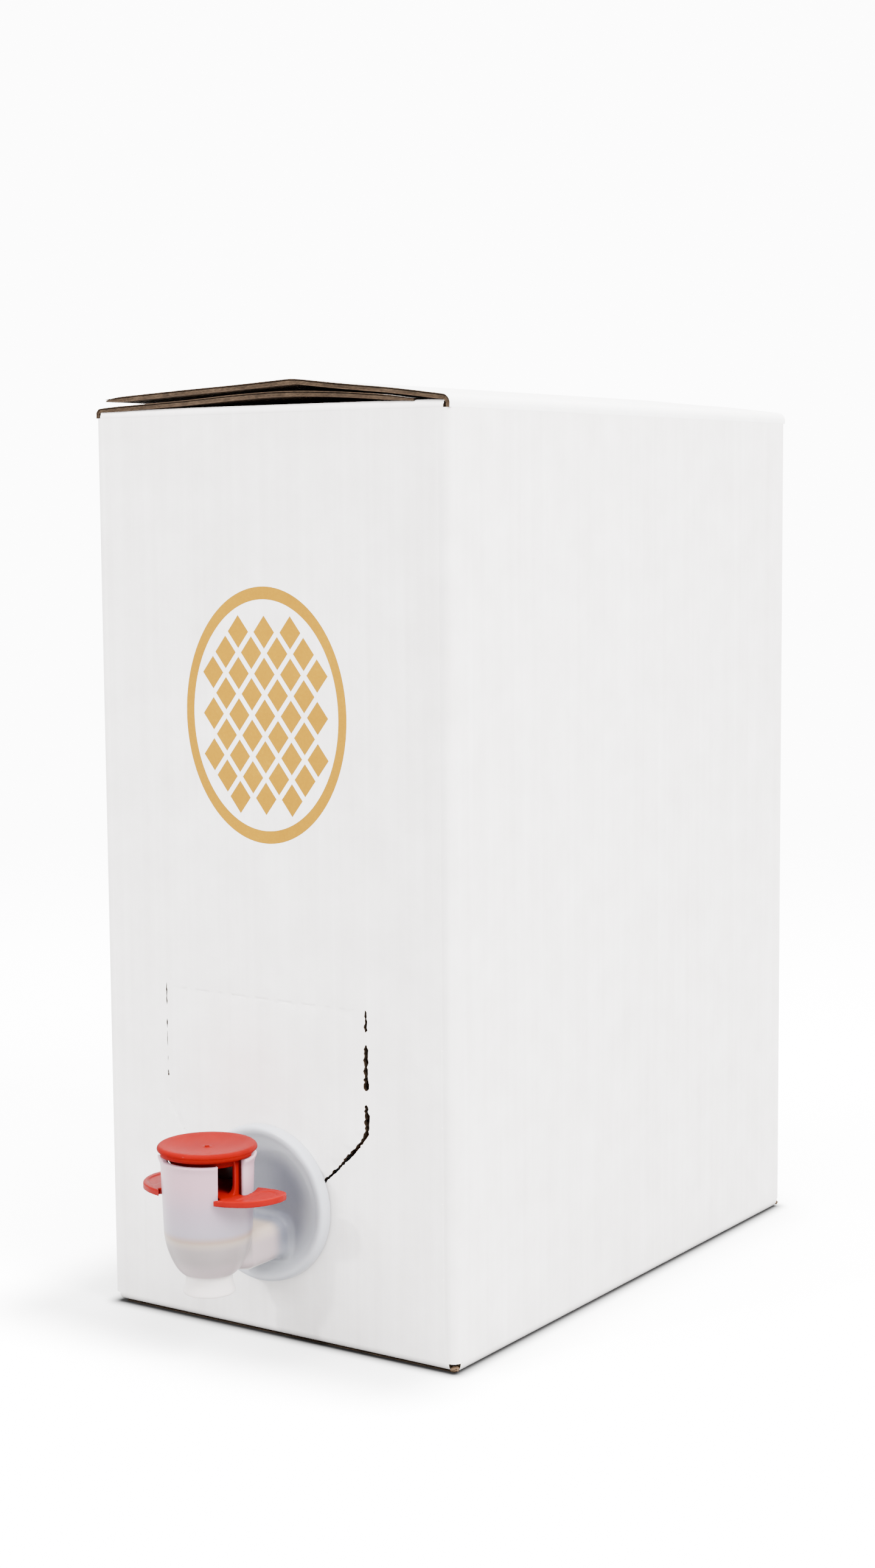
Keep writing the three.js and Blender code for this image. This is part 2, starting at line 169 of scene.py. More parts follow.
def settle_normals(mesh, smooth):
    work = bmesh.new()
    work.from_mesh(mesh)
    bmesh.ops.recalc_face_normals(work, faces=work.faces)
    limit = math.radians(smooth)
    for face in work.faces:
        face.smooth = True
    for edge in work.edges:
        edge.smooth = len(edge.link_faces) == 2 and edge.calc_face_angle(0) < limit
    work.to_mesh(mesh)
    work.free()
    mesh.update()


# Materials
def new_material(name, settings):
    material = bpy.data.materials.new(name)
    material.use_nodes = True
    tree = material.node_tree
    shader = tree.nodes["Principled BSDF"]
    for socket, value in settings.items():
        shader.inputs[socket].default_value = value
    return material, tree, shader


def object_places(tree, scale=(1, 1, 1)):
    places = tree.nodes.new("ShaderNodeTexCoord")
    mapping = tree.nodes.new("ShaderNodeMapping")
    mapping.inputs["Scale"].default_value = scale
    tree.links.new(places.outputs["Object"], mapping.inputs["Vector"])
    return mapping.outputs["Vector"]


def noise_field(tree, scale, detail, rough=0.55, stretch=(1, 1, 1)):
    node = tree.nodes.new("ShaderNodeTexNoise")
    node.inputs["Scale"].default_value = scale
    node.inputs["Detail"].default_value = detail
    node.inputs["Roughness"].default_value = rough
    tree.links.new(object_places(tree, stretch), node.inputs["Vector"])
    return node.outputs["Fac"]


def ramp(tree, value, stops):
    node = tree.nodes.new("ShaderNodeValToRGB")
    elements = node.color_ramp.elements
    while len(elements) < len(stops):
        elements.new(0.5)
    for element, (place, colour) in zip(elements, stops):
        element.position = place
        element.color = (*colour, 1)
    tree.links.new(value, node.inputs["Fac"])
    return node.outputs["Color"]


def math_node(tree, operation, a, b=0):
    node = tree.nodes.new("ShaderNodeMath")
    node.operation = operation
    for socket, value in zip(node.inputs, (a, b)):
        if isinstance(value, (int, float)):
            socket.default_value = value
        else:
            tree.links.new(value, socket)
    return node.outputs[0]


def weighted_sum(tree, first, *others):
    """The sum of values, each given with its weight."""
    total = math_node(tree, "MULTIPLY", *first)
    for pair in others:
        total = math_node(tree, "ADD", total, math_node(tree, "MULTIPLY", *pair))
    return total


def vector_node(tree, operation, vector, other=None):
    node = tree.nodes.new("ShaderNodeVectorMath")
    node.operation = operation
    tree.links.new(vector, node.inputs[0])
    if other is not None:
        node.inputs[1].default_value = other
    return node.outputs


def bump(tree, shader, height, strength, distance):
    node = tree.nodes.new("ShaderNodeBump")
    node.inputs["Strength"].default_value = strength
    node.inputs["Distance"].default_value = distance
    tree.links.new(height, node.inputs["Height"])
    tree.links.new(node.outputs["Normal"], shader.inputs["Normal"])


def places_apart(tree):
    """The three coordinates of a point in metres."""
    places = tree.nodes.new("ShaderNodeTexCoord")
    apart = tree.nodes.new("ShaderNodeSeparateXYZ")
    tree.links.new(places.outputs["Object"], apart.inputs["Vector"])
    return apart.outputs


def fade(tree, value, low, high):
    """0 below low and 1 above high, with a soft step between."""
    node = tree.nodes.new("ShaderNodeMapRange")
    node.interpolation_type = "SMOOTHSTEP"
    node.inputs["From Min"].default_value = low
    node.inputs["From Max"].default_value = high
    tree.links.new(value, node.inputs["Value"])
    return node.outputs["Result"]


def blend_colours(tree, share, first, second):
    node = tree.nodes.new("ShaderNodeMix")
    node.data_type = "RGBA"
    tree.links.new(share, node.inputs["Factor"])
    for socket, colour in ((node.inputs[6], first), (node.inputs[7], second)):
        if isinstance(colour, tuple):
            socket.default_value = (*colour, 1)
        else:
            tree.links.new(colour, socket)
    return node.outputs[2]


# A faint pink tint on the wall paper, strongest at one point over the tap and gone at the given radius
PINK_CAST_COLOUR = (0.70, 0.46, 0.46)
PINK_CAST_PLACE = (-0.010, -0.094, 0.070)
PINK_CAST_RADIUS = 0.030
PINK_CAST_STRENGTH = 0.22


def pink_cast_share(tree):
    """A faint pink cast on the paper over the tap."""
    distance = vector_node(tree, "DISTANCE", object_places(tree), PINK_CAST_PLACE)["Value"]
    near = math_node(tree, "SUBTRACT", 1.0, fade(tree, distance, 0.0, PINK_CAST_RADIUS))
    return math_node(tree, "MULTIPLY", near, PINK_CAST_STRENGTH)


def paper_faced_board(name, low, high, flute_squash, with_pink_cast):
    """A coated paper face: fine mottling, paper grain, and the flutes faintly showing as streaks."""
    material, tree, shader = new_material(name, {"Roughness": 0.58, "Specular IOR Level": 0.3})
    mottle = noise_field(tree, 90, 5)
    streaks = noise_field(tree, 420, 2, stretch=flute_squash)
    colour = ramp(tree, weighted_sum(tree, (mottle, 0.6), (streaks, 0.4)), [(0.3, low), (0.7, high)])
    if with_pink_cast:
        colour = blend_colours(tree, pink_cast_share(tree), colour, PINK_CAST_COLOUR)
    tree.links.new(colour, shader.inputs["Base Color"])
    grain = noise_field(tree, 1600, 3)
    height = weighted_sum(tree, (streaks, 0.9), (mottle, 1.2), (grain, 0.25))
    bump(tree, shader, height, 0.35, 0.00022)
    return material


def noise_finish(name, settings, tones, stops, relief):
    """A material coloured by a weighted sum of noise fields. Each tone is a field and its weight, and
    the relief is a field, a strength and a depth in metres."""
    material, tree, shader = new_material(name, settings)
    value = weighted_sum(tree, *[(noise_field(tree, *field), weight) for field, weight in tones])
    tree.links.new(ramp(tree, value, stops), shader.inputs["Base Color"])
    field, strength, depth = relief
    bump(tree, shader, noise_field(tree, *field), strength, depth)
    return material


# Kraft browns, darker than the paper itself: its own brown with painted shade, as on the undersides and
# folds where it shows. Lightness scales the browns
def kraft_paper(name, lightness):
    browns = [(0.3, (0.022, 0.013, 0.008)), (0.5, (0.075, 0.047, 0.028)), (0.72, (0.16, 0.105, 0.065))]
    stops = [(place, tuple(lightness * c for c in brown)) for place, brown in browns]
    settings = {"Roughness": 0.85, "Specular IOR Level": 0.15}
    fibres = (900, 6, 0.7, (1, 1, 3))
    return noise_finish(name, settings, [(fibres, 0.65), ((160, 3), 0.35)], stops, (fibres, 0.8, 0.0002))


def printed_ink():
    stops = [(0.3, (0.22, 0.105, 0.0004)), (0.6, (0.25, 0.125, 0.0006)), (0.8, (0.30, 0.16, 0.004))]
    settings = {"Roughness": 0.6, "Specular IOR Level": 0.08}
    speckle = (1300, 4, 0.6)
    tones = [(speckle, 0.5), ((70, 3), 0.5)]
    return noise_finish("mustard_ink", settings, tones, stops, (speckle, 0.2, 0.0001))


def milky_settings(see_through):
    """Translucent moulded plastic: soft scatter with a little blurred see-through."""
    return {
        "Roughness": 0.28,
        "IOR": 1.47,
        "Transmission Weight": see_through,
        "Subsurface Weight": 0.5,
        "Subsurface Radius": (1.0, 0.85, 0.8),
        "Subsurface Scale": 0.0015,
    }


MILKY_FIELD = (500, 3)
MILKY_STRENGTH = 0.06
MILKY_DEPTH = 0.0001


def milky_gland_plastic():
    stops = [(0.3, (0.66, 0.65, 0.64)), (0.7, (0.72, 0.71, 0.70))]
    relief = (MILKY_FIELD, MILKY_STRENGTH, MILKY_DEPTH)
    return noise_finish("milky_plastic_gland", milky_settings(0.1), [((120, 3), 1)], stops, relief)


def distance_between(tree, coordinate_a, middle_a, coordinate_b, middle_b):
    """How far a place is from an axis, given two coordinates and the axis's place, in millimetres."""
    a = math_node(tree, "SUBTRACT", coordinate_a, middle_a * MM)
    b = math_node(tree, "SUBTRACT", coordinate_b, middle_b * MM)
    return math_node(tree, "SQRT", weighted_sum(tree, (a, a), (b, b)))


# What shows through the tap's wall from its outlet up, by height in millimetres: the seal ring and the red
# lever parts, and painted shade of the dark inside lower down
BARREL_SHADES = [
    (24.1, (0.56, 0.52, 0.505)),
    (24.9, (0.27, 0.215, 0.225)),
    (30.5, (0.28, 0.225, 0.23)),
    (33.2, (0.31, 0.25, 0.21)),
    (34.6, (0.29, 0.225, 0.175)),
    (35.4, (0.235, 0.165, 0.13)),
    (37.0, (0.22, 0.195, 0.235)),
    (43.0, (0.25, 0.19, 0.235)),
    (50.0, (0.34, 0.205, 0.245)),
]
# The inner wall's colours: painted shade inside the body, dark grey below the seal ring and dark red above
# it, for red parts in shade
CHAMBER_LOW_SHADE = (0.20, 0.17, 0.17)
CHAMBER_RED_SHADE = (0.06, 0.004, 0.003)
# The flange darkens toward its middle: painted shade of the tap body, over the dark carton behind
FLANGE_SHADED_MIDDLE = (0.105, 0.108, 0.132)
FLANGE_RIM = (0.40, 0.41, 0.445)

# Where one of these shades passes into the next, in metres
FLANGE_STEP = (0.011, 0.0212)
WALL_STEP = (0.0111, 0.0117)
SEAL_STEP = (0.0345, 0.0365)
BOWL_STEP = (0.026, 0.030)
BEHIND_STEP = (-0.1035, -0.0985)


def milky_body_plastic():
    """Milky plastic over what it holds, with painted shade: red lever parts above, a brown seal ring,
    the drink's way below in painted shade, painted shade on the inner wall, and painted shade of the tap
    body across the middle of the flange, over the dark carton behind it."""
    material, tree, shader = new_material("milky_plastic", milky_settings(0.12))
    bump(tree, shader, noise_field(tree, *MILKY_FIELD), MILKY_STRENGTH, MILKY_DEPTH)
    place = places_apart(tree)
    reach = REAR_WALL_TOP - OUTLET_LIP
    height = math_node(tree, "SUBTRACT", place["Z"], OUTLET_LIP * MM)
    height = math_node(tree, "DIVIDE", height, reach * MM)
    outlet = ramp(tree, height, [((z - OUTLET_LIP) / reach, colour) for z, colour in BARREL_SHADES])
    from_middle = distance_between(tree, place["X"], TAP_X, place["Z"], FLANGE_Z)
    from_axis = distance_between(tree, place["X"], TAP_X, place["Y"], TAP_Y)

    def blend(value, step, first, second):
        return blend_colours(tree, fade(tree, value, *step), first, second)

    # Painted shade across the middle of the flange
    flange = blend(from_middle, FLANGE_STEP, FLANGE_SHADED_MIDDLE, FLANGE_RIM)
    # Painted shade on the inner wall, by height
    chamber = blend(place["Z"], SEAL_STEP, CHAMBER_LOW_SHADE, CHAMBER_RED_SHADE)
    barrel = blend(from_axis, WALL_STEP, chamber, outlet)
    outside = blend(place["Z"], BOWL_STEP, outlet, barrel)
    colour = blend(place["Y"], BEHIND_STEP, outside, flange)
    tree.links.new(colour, shader.inputs["Base Color"])
    return material


def red_plastic(name, dark, light, coat):
    settings = {
        "Roughness": 0.5,
        "Specular IOR Level": 0.02,
        "Coat Weight": coat,
        "Coat IOR": 1.3,
        "Coat Roughness": 0.08,
    }
    stops = [(0.3, (dark, 0.0007, 0.0003)), (0.7, (light, 0.0009, 0.0004))]
    return noise_finish(name, settings, [((150, 3), 1)], stops, ((700, 3), 0.03, 0.0001))


def brown_rubber():
    stops = [(0.3, (0.20, 0.10, 0.04)), (0.7, (0.28, 0.15, 0.07))]
    speckle = (800, 4)
    return noise_finish("brown_rubber", {"Roughness": 0.7}, [(speckle, 1)], stops, (speckle, 0.3, 0.0001))


def bag_film():
    """Clear wrinkled film over a dark drink."""
    settings = {"Roughness": 0.25, "Coat Weight": 0.8, "Coat Roughness": 0.15}
    stops = [(0.35, (0.05, 0.022, 0.010)), (0.7, (0.12, 0.06, 0.03))]
    creases = (60, 6, 0.65)
    return noise_finish("filled_film", settings, [(creases, 1)], stops, (creases, 0.6, 0.001))


# The flutes run up the walls and over the folds, so the streaks are long in Z on walls
ALONG_WALLS = (1, 1, 0.02)
OVER_TOP = (0.02, 1, 1)
# The top's paper is the same white as the walls', but its tones are lighter: painted light on the top
WALL_TONES = (0.65, 0.617, 0.605), (0.79, 0.766, 0.757)
TOP_LIT_TONES = (0.78, 0.765, 0.755), (0.86, 0.85, 0.84)
white_wall = paper_faced_board("white_board_wall", *WALL_TONES, ALONG_WALLS, True)
white_top_lit = paper_faced_board("white_board_top_lit", *TOP_LIT_TONES, OVER_TOP, False)
kraft = kraft_paper("kraft_paper", 0.8)
# The cut edges take a darker copy of the same kraft: painted shade on the edges
shaded_cut_edge = kraft_paper("kraft_cut_edge", 0.42)
ink = printed_ink()
milky_body = milky_body_plastic()
milky_gland = milky_gland_plastic()
red = red_plastic("red_plastic", 0.125, 0.150, 0.18)
# The thumb disc takes a darker, less glossy copy of the same red: painted shade on its top, which faces the
# top light
shaded_red_disc = red_plastic("red_disc_plastic", 0.096, 0.114, 0.02)
rubber = brown_rubber()
film = bag_film()
WHITE, KRAFT, EDGE, INK = 0, 1, 2, 3
board_materials = [white_wall, kraft, shaded_cut_edge, ink]
flap_materials = [white_top_lit, kraft, shaded_cut_edge]


# Board that is bent along a path, with its outer face, its inner face and its cut edges
def inward_normals(path, side):
    normals = []
    for i in range(len(path)):
        before = Vector(path[max(i - 1, 0)])
        after = Vector(path[min(i + 1, len(path) - 1)])
        along = (after - before).normalized()
        normals.append(Vector((along.y, -along.x)) * side)
    return normals


def sheet_layer(skin, path, side, place, stations, slots, crush=None):
    """One closed layer. Stations are (place across, near depth, far depth, nudge along the path).
    Slots are for the outer face, the inner face and the cut edges."""
    normals = inward_normals(path, side)
    outer_slot, inner_slot, edge_slot = slots
    count = len(path)
    crush = crush or [1] * count
    ring_slots = [outer_slot] * (count - 1) + [edge_slot] + [inner_slot] * (count - 1) + [edge_slot]
    rings = []
    for across, near, far, nudge in stations:
        outer, inner = [], []
        for i, (point, normal) in enumerate(zip(path, normals)):
            shift = nudge(i) if nudge else 0
            sink = (1 - crush[i]) * BOARD / 2
            p = Vector(point) + normal * (near * crush[i] + sink)
            q = Vector(point) + normal * (far * crush[i] + sink)
            outer.append(place(p.x, p.y, across + shift))
            inner.append(place(q.x, q.y, across + shift))
        rings.append(skin.add_points(outer + inner[::-1]))
    for ring_a, ring_b in zip(rings, rings[1:]):
        skin.bridge(ring_a, ring_b, ring_slots)
    for ring in (rings[0], rings[-1]):
        for i in range(count - 1):
            skin.add_face((ring[i], ring[i + 1], ring[-2 - i], ring[-1 - i]), edge_slot)


def ragged(seed, amount):
    rng = random.Random(seed)
    table = [rng.uniform(-amount, amount) for _ in range(512)]
    return lambda i: table[i % 512]


def corrugated_sheet(skin, path, side, place, low, high, crush, seed):
    """Two liners with a fluted middle between them, and the middle's torn lip at both cut edges."""
    fuzz_low = ragged(seed, 0.10)
    fuzz_high = ragged(seed + 1, 0.10)
    steps = 12
    for near, far, slots in ((0, LINER, (WHITE, KRAFT, EDGE)), (BOARD - LINER, BOARD, (KRAFT, KRAFT, EDGE))):
        stations = []
        for k in range(steps + 1):
            across = low + (high - low) * k / steps
            nudge = fuzz_low if k == 0 else fuzz_high if k == steps else None
            stations.append((across, near, far, nudge))
        sheet_layer(skin, path, side, place, stations, slots, crush)
    middle = BOARD / 2
    swing = BOARD / 2 - LINER - 0.07
    per_wave = 8
    inset = 0.3
    lip = 0.12
    start, stop = low + inset, high - inset
    count = int((stop - start) / FLUTE_PITCH * per_wave)
    lip_near, lip_far = LINER + 0.22, BOARD - LINER
    stations = [
        (start - lip, lip_near, lip_far, ragged(seed + 2, lip)),
        (start + inset, lip_near, lip_far, None),
    ]
    for k in range(2, count - 1):
        across = start + (stop - start) * k / count
        depth = middle + swing * math.sin(2 * math.pi * (across - start) / FLUTE_PITCH)
        stations.append((across, depth - 0.06, depth + 0.06, None))
    stations.append((stop - inset, lip_near, lip_far, None))
    stations.append((stop + lip, lip_near, lip_far, ragged(seed + 3, lip)))
    sheet_layer(skin, path, side, place, stations, (EDGE, EDGE, EDGE), crush)


def arc(cx, cy, radius, start, stop, steps):
    points = []
    for k in range(steps + 1):
        angle = math.radians(start + (stop - start) * k / steps)
        points.append((cx + radius * math.cos(angle), cy + radius * math.sin(angle)))
    return points


def smooth_row(points, spacing):
    """A smooth curve through points, at even steps, with the given spacing."""
    padded = [points[0]] + list(points) + [points[-1]]
    row = [tuple(points[0])]
    for a, b, c, d in zip(padded, padded[1:], padded[2:], padded[3:]):
        a, b, c, d = Vector(a), Vector(b), Vector(c), Vector(d)
        length = (c - b).length
        slope_b = (c - a) / max((c - a).length, 1e-9) * length
        slope_c = (d - b) / max((d - b).length, 1e-9) * length
        steps = max(2, int(length / spacing))
        for k in range(1, steps + 1):
            t = k / steps
            h00 = 2 * t**3 - 3 * t**2 + 1
            h10 = t**3 - 2 * t**2 + t
            h01 = -2 * t**3 + 3 * t**2
            h11 = t**3 - t**2
            row.append(tuple(b * h00 + slope_b * h10 + c * h01 + slope_c * h11))
    return row


def crush_near_ends(path, at_start, at_end, reach):
    """Board is crushed thinner at a fold and at a cut end."""
    lengths = [0]
    for a, b in zip(path, path[1:]):
        lengths.append(lengths[-1] + (Vector(b) - Vector(a)).length)
    total = lengths[-1]
    values = []
    for length in lengths:
        start = math.exp(-((length / reach) ** 2))
        end = math.exp(-(((total - length) / reach) ** 2))
        values.append(1 - (1 - at_start) * start - (1 - at_end) * end)
    return values


def quarter_fold(edge, side, radius, level, up):
    """A fold from a wall's outer face at edge to a flap at level. Up is 1 below the walls, -1 above."""
    points = []
    for k in range(9):
        angle = math.radians(90 * k / 8)
        inward = side * radius * (1 - math.cos(angle))
        points.append((edge - inward, level + up * radius * (1 - math.sin(angle))))
    return points


def across_y(a, b, across):
    return at(a, across, b)


def across_x(a, b, across):
    return at(across, a, b)


def outer_flap_path():
    """From the right wall, round the fold and over the bowed top to the free edge."""
    fold_radius = 2.5
    lean = 6.9
    fold = arc(HALF_WIDTH - fold_radius, PANEL_TOP - 1.3, fold_radius, 0, 90 - lean, 9)
    bow = [(40.1, 252.75), (24.0, 254.35), (11.5, 255.75), (8.7, 255.95), (5.5, 255.8)]
    bow += [(-10.0, 254.95), (-26.8, 254.2), (-54.3, 252.8)]
    return [(HALF_WIDTH, TUBE_TOP)] + fold + smooth_row([fold[-1]] + bow, 2.0)[1:]


def outer_flap():
    skin = Skin()
    path = outer_flap_path()
    crush = crush_near_ends(path, at_start=0.8, at_end=0.5, reach=3.5)
    corrugated_sheet(skin, path, -1, across_y, -HALF_DEPTH + 0.25, HALF_DEPTH - 0.25, crush, 11)
    piece = skin.build("outer_flap_board", flap_materials, None)
    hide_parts("outer_top_flap")
    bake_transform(piece)


def lower_flap(skin):
    fold_radius = 2.0
    fold = arc(-HALF_WIDTH + fold_radius, PANEL_TOP - 1.35, fold_radius, 180, 96, 8)
    bow = [(-40.0, 250.9), (-26.8, 251.45), (-8.0, 252.5), (7.6, 252.85), (24.0, 252.2)]
    bow += [(40.1, 250.95), (47.0, 250.25)]
    path = [(-HALF_WIDTH, TUBE_TOP)] + fold + smooth_row([fold[-1]] + bow, 2.0)[1:]
    crush = crush_near_ends(path, at_start=0.65, at_end=0.5, reach=6)
    corrugated_sheet(skin, path, 1, across_y, -HALF_DEPTH + 0.3, HALF_DEPTH - 0.3, crush, 23)


def dust_flap(skin, end, seed):
    """A short flap folded in from the front or rear panel."""
    edge = end * HALF_DEPTH
    fold = quarter_fold(edge, end, 1.8, PANEL_TOP, -1)
    flat = PANEL_TOP - 1.3
    drop = [fold[-1], (edge - end * 6, PANEL_TOP - 0.8)]
    drop += [(edge - end * 14, flat), (edge - end * DUST_REACH, flat)]
    path = [(edge, TUBE_TOP)] + fold + smooth_row(drop, 3)[1:]
    crush = crush_near_ends(path, at_start=0.8, at_end=0.6, reach=4)
    half = HALF_WIDTH - CORNER_SLOT + 1.2
    corrugated_sheet(skin, path, -end, across_x, -half, half, crush, seed)


# Walls: a tube of board with rounded folds, open over the flat of the front panel
def wall_path():
    """The outer face from the front panel's right end round the back to its left end."""
    score = 0.12
    path = []
    corners = [
        (HALF_WIDTH - FOLD, -HALF_DEPTH + FOLD, -90),
        (HALF_WIDTH - FOLD, HALF_DEPTH - FOLD, 0),
        (-HALF_WIDTH + FOLD, HALF_DEPTH - FOLD, 90),
        (-HALF_WIDTH + FOLD, -HALF_DEPTH + FOLD, 180),
    ]
    for index, (cx, cy, start) in enumerate(corners):
        turn = arc(cx, cy, FOLD, start, start + 90, 12)
        if index:
            path.append(step_back(turn[0], turn[1], 1.2, 0))
            path.append(step_back(turn[0], turn[1], 0.5, score))
        path.extend(turn)
        if index < 3:
            path.append(step_back(turn[-1], turn[-2], 0.5, score))
            path.append(step_back(turn[-1], turn[-2], 1.2, 0))
    return path


def step_back(end, inner, distance, sink):
    """A point beyond a fold's end, on the flat, sunk a little where the board is scored."""
    end, inner = Vector(end), Vector(inner)
    along = end - inner
    axis = Vector((1, 0)) if abs(along.x) > abs(along.y) else Vector((0, 1))
    along = axis * math.copysign(1, along.dot(axis))
    if axis.x:
        inward = Vector((0, -math.copysign(1, end.y)))
    else:
        inward = Vector((-math.copysign(1, end.x), 0))
    return tuple(end + along * distance + inward * sink)


def walls(skin):
    steps = 24
    rise = (TUBE_TOP - TUBE_BOTTOM) / steps
    stations = [(TUBE_BOTTOM + rise * k, 0, BOARD, None) for k in range(steps + 1)]
    sheet_layer(skin, wall_path(), -1, at, stations, (WHITE, KRAFT, EDGE))


# The front panel: a flat board with the tap window's torn cuts and the printed ornament
WINDOW_RIGHT = 30.4
WINDOW_LEFT = -36.5
WINDOW_TOP = 92.6
WINDOW_LIFT = 0.55
HOLE_RADIUS = 15.3
SCORE_HALF_WIDTH = 0.7
SCORE_DEPTH = 0.2
FRONT_Y = -HALF_DEPTH


def ragged_slit(line, widths, seed, spacing=0.55):
    """A closed outline about a centre line, with a torn edge. Each point of the line has its width."""
    rng = random.Random(seed)
    centre = []
    for (a, b), wa, wb in zip(zip(line, line[1:]), widths, widths[1:]):
        a, b = Vector(a), Vector(b)
        steps = max(2, int((b - a).length / spacing))
        along = (b - a).normalized()
        normal = Vector((-along.y, along.x))
        for k in range(steps):
            t = k / steps
            centre.append((a.lerp(b, t), normal, wa + (wb - wa) * t))
    centre.append((Vector(line[-1]), normal, widths[-1]))
    left, right = [], []
    for i, (point, normal, width) in enumerate(centre):
        ends = 0.35 if i in (0, len(centre) - 1) else 1
        left.append(point + normal * ends * width / 2 * rng.uniform(0.55, 1.4))
        right.append(point - normal * ends * width / 2 * rng.uniform(0.55, 1.4))
    return left + right[::-1]


def window_slits():
    """The torn cuts down the window's right side, then the ones down its left side."""
    right = (WINDOW_RIGHT, 0)
    left = (WINDOW_LEFT, 0)
    long_tear = shifted(right, [(0, 67.9), (0.2, 64), (0.1, 60.4), (-0.8, 58.6)])
    long_tear += [(27.4, 56.2), (27.0, 55.4), (23.4, 52.2), (22.9, 51.3), (13.5, 42.6)]
    tears = [
        (shifted(right, [(0, 93.0), (0.15, 90.2), (0, 87.2)]), [0.65, 0.75, 1.15]),
        (shifted(right, [(0.1, 83.8), (0, 78), (0.1, 71.6)]), [1.25, 1.4, 1.45]),
        (long_tear, [1.2, 1.6, 1.3, 0.9, 1.15, 0.95, 1.15, 0.8, 0.9]),
        (shifted(left, [(0, 93.7), (-0.05, 90.5), (0, 87.6)]), [0.4, 0.42, 0.3]),
        (shifted(left, [(0, 83.6), (0, 82.3), (0, 81.0)]), [0.3, 0.4, 0.25]),
        (shifted(left, [(0, 80.2), (0, 77.8), (0, 76.0)]), [0.18, 0.24, 0.16]),
        (shifted(left, [(0, 73.4), (0, 72.6), (0, 71.8)]), [0.16, 0.24, 0.16]),
        (shifted(left, [(0.1, 69.4), (0.1, 68.5), (0.1, 67.6)]), [0.4, 0.6, 0.4]),
    ]
    return [ragged_slit(line, widths, index + 1) for index, (line, widths) in enumerate(tears)]


def ellipse(cx, cz, a, b, count):
    turns = [2 * math.pi * k / count for k in range(count)]
    return [Vector((cx + a * math.cos(turn), cz + b * math.sin(turn))) for turn in turns]


# A plain geometric ornament: an oval frame filled with a lattice of lozenges
ORNAMENT_X = -1.0
ORNAMENT_Z = 168.5
ORNAMENT_HALF_WIDTH = 26.5
ORNAMENT_HALF_HEIGHT = 34.0
FRAME_SHARE = 0.90
LATTICE_SHARE = 0.74
LOZENGE_STEP_X = 8.6
LOZENGE_STEP_Z = 11.0
LOZENGE_SHARE = 0.80


def lozenges():
    shapes = []
    rows = 7
    half_x = LOZENGE_STEP_X / 2 * LOZENGE_SHARE
    half_z = LOZENGE_STEP_Z / 2 * LOZENGE_SHARE
    for row in range(-rows, rows + 1):
        shift = LOZENGE_STEP_X / 2 if row % 2 else 0
        for column in range(-rows, rows + 1):
            x = column * LOZENGE_STEP_X + shift
            z = row * LOZENGE_STEP_Z / 2
            if math.hypot(x / ORNAMENT_HALF_WIDTH, z / ORNAMENT_HALF_HEIGHT) > LATTICE_SHARE:
                continue
            cx, cz = ORNAMENT_X + x, ORNAMENT_Z + z
            tips = (cx + half_x, cz), (cx, cz + half_z), (cx - half_x, cz), (cx, cz - half_z)
            shapes.append([Vector(tip) for tip in tips])
    return shapes


def inside(point, polygon):
    hit = False
    for a, b in zip(polygon, polygon[1:] + polygon[:1]):
        if (a.y > point.y) != (b.y > point.y):
            if point.x < (b.x - a.x) * (point.y - a.y) / (b.y - a.y) + a.x:
                hit = not hit
    return hit


def is_printed(point, shapes):
    dx = (point.x - ORNAMENT_X) / ORNAMENT_HALF_WIDTH
    dz = (point.y - ORNAMENT_Z) / ORNAMENT_HALF_HEIGHT
    share = math.hypot(dx, dz)
    if share > 1.02:
        return False
    if FRAME_SHARE < share < 1.0:
        return True
    return any(inside(point, shape) for shape in shapes)


def window_lift(point):
    """How far the torn window flap stands proud near its loose lower right corner."""
    if not -34 < point.x < WINDOW_RIGHT or point.y > 70:
        return 0
    if point.y - 59.6 < (point.x - 29.2) * 1.05:
        return 0
    down = min(1, max(0, (70 - point.y) / 14))
    across = min(1, max(0, (point.x + 25) / 35))
    edge = min(1, max(0, (WINDOW_RIGHT - point.x) / 3 + (61 - point.y) / 6 + 0.2))
    return WINDOW_LIFT * down * down * across * edge


def score_lines(half):
    """The window's upper fold, its lower left fold, and the panel's two upright folds."""
    fold = half - 1.3
    low, high = TUBE_BOTTOM + 2, TUBE_TOP - 2
    return (
        [(-34.4, WINDOW_TOP), (27.2, WINDOW_TOP - 0.3)],
        [(-36.3, 61.7), (-31.3, 53.6), (-27.5, 47.5)],
        [(fold, low), (fold, high)],
        [(-fold, low), (-fold, high)],
    )


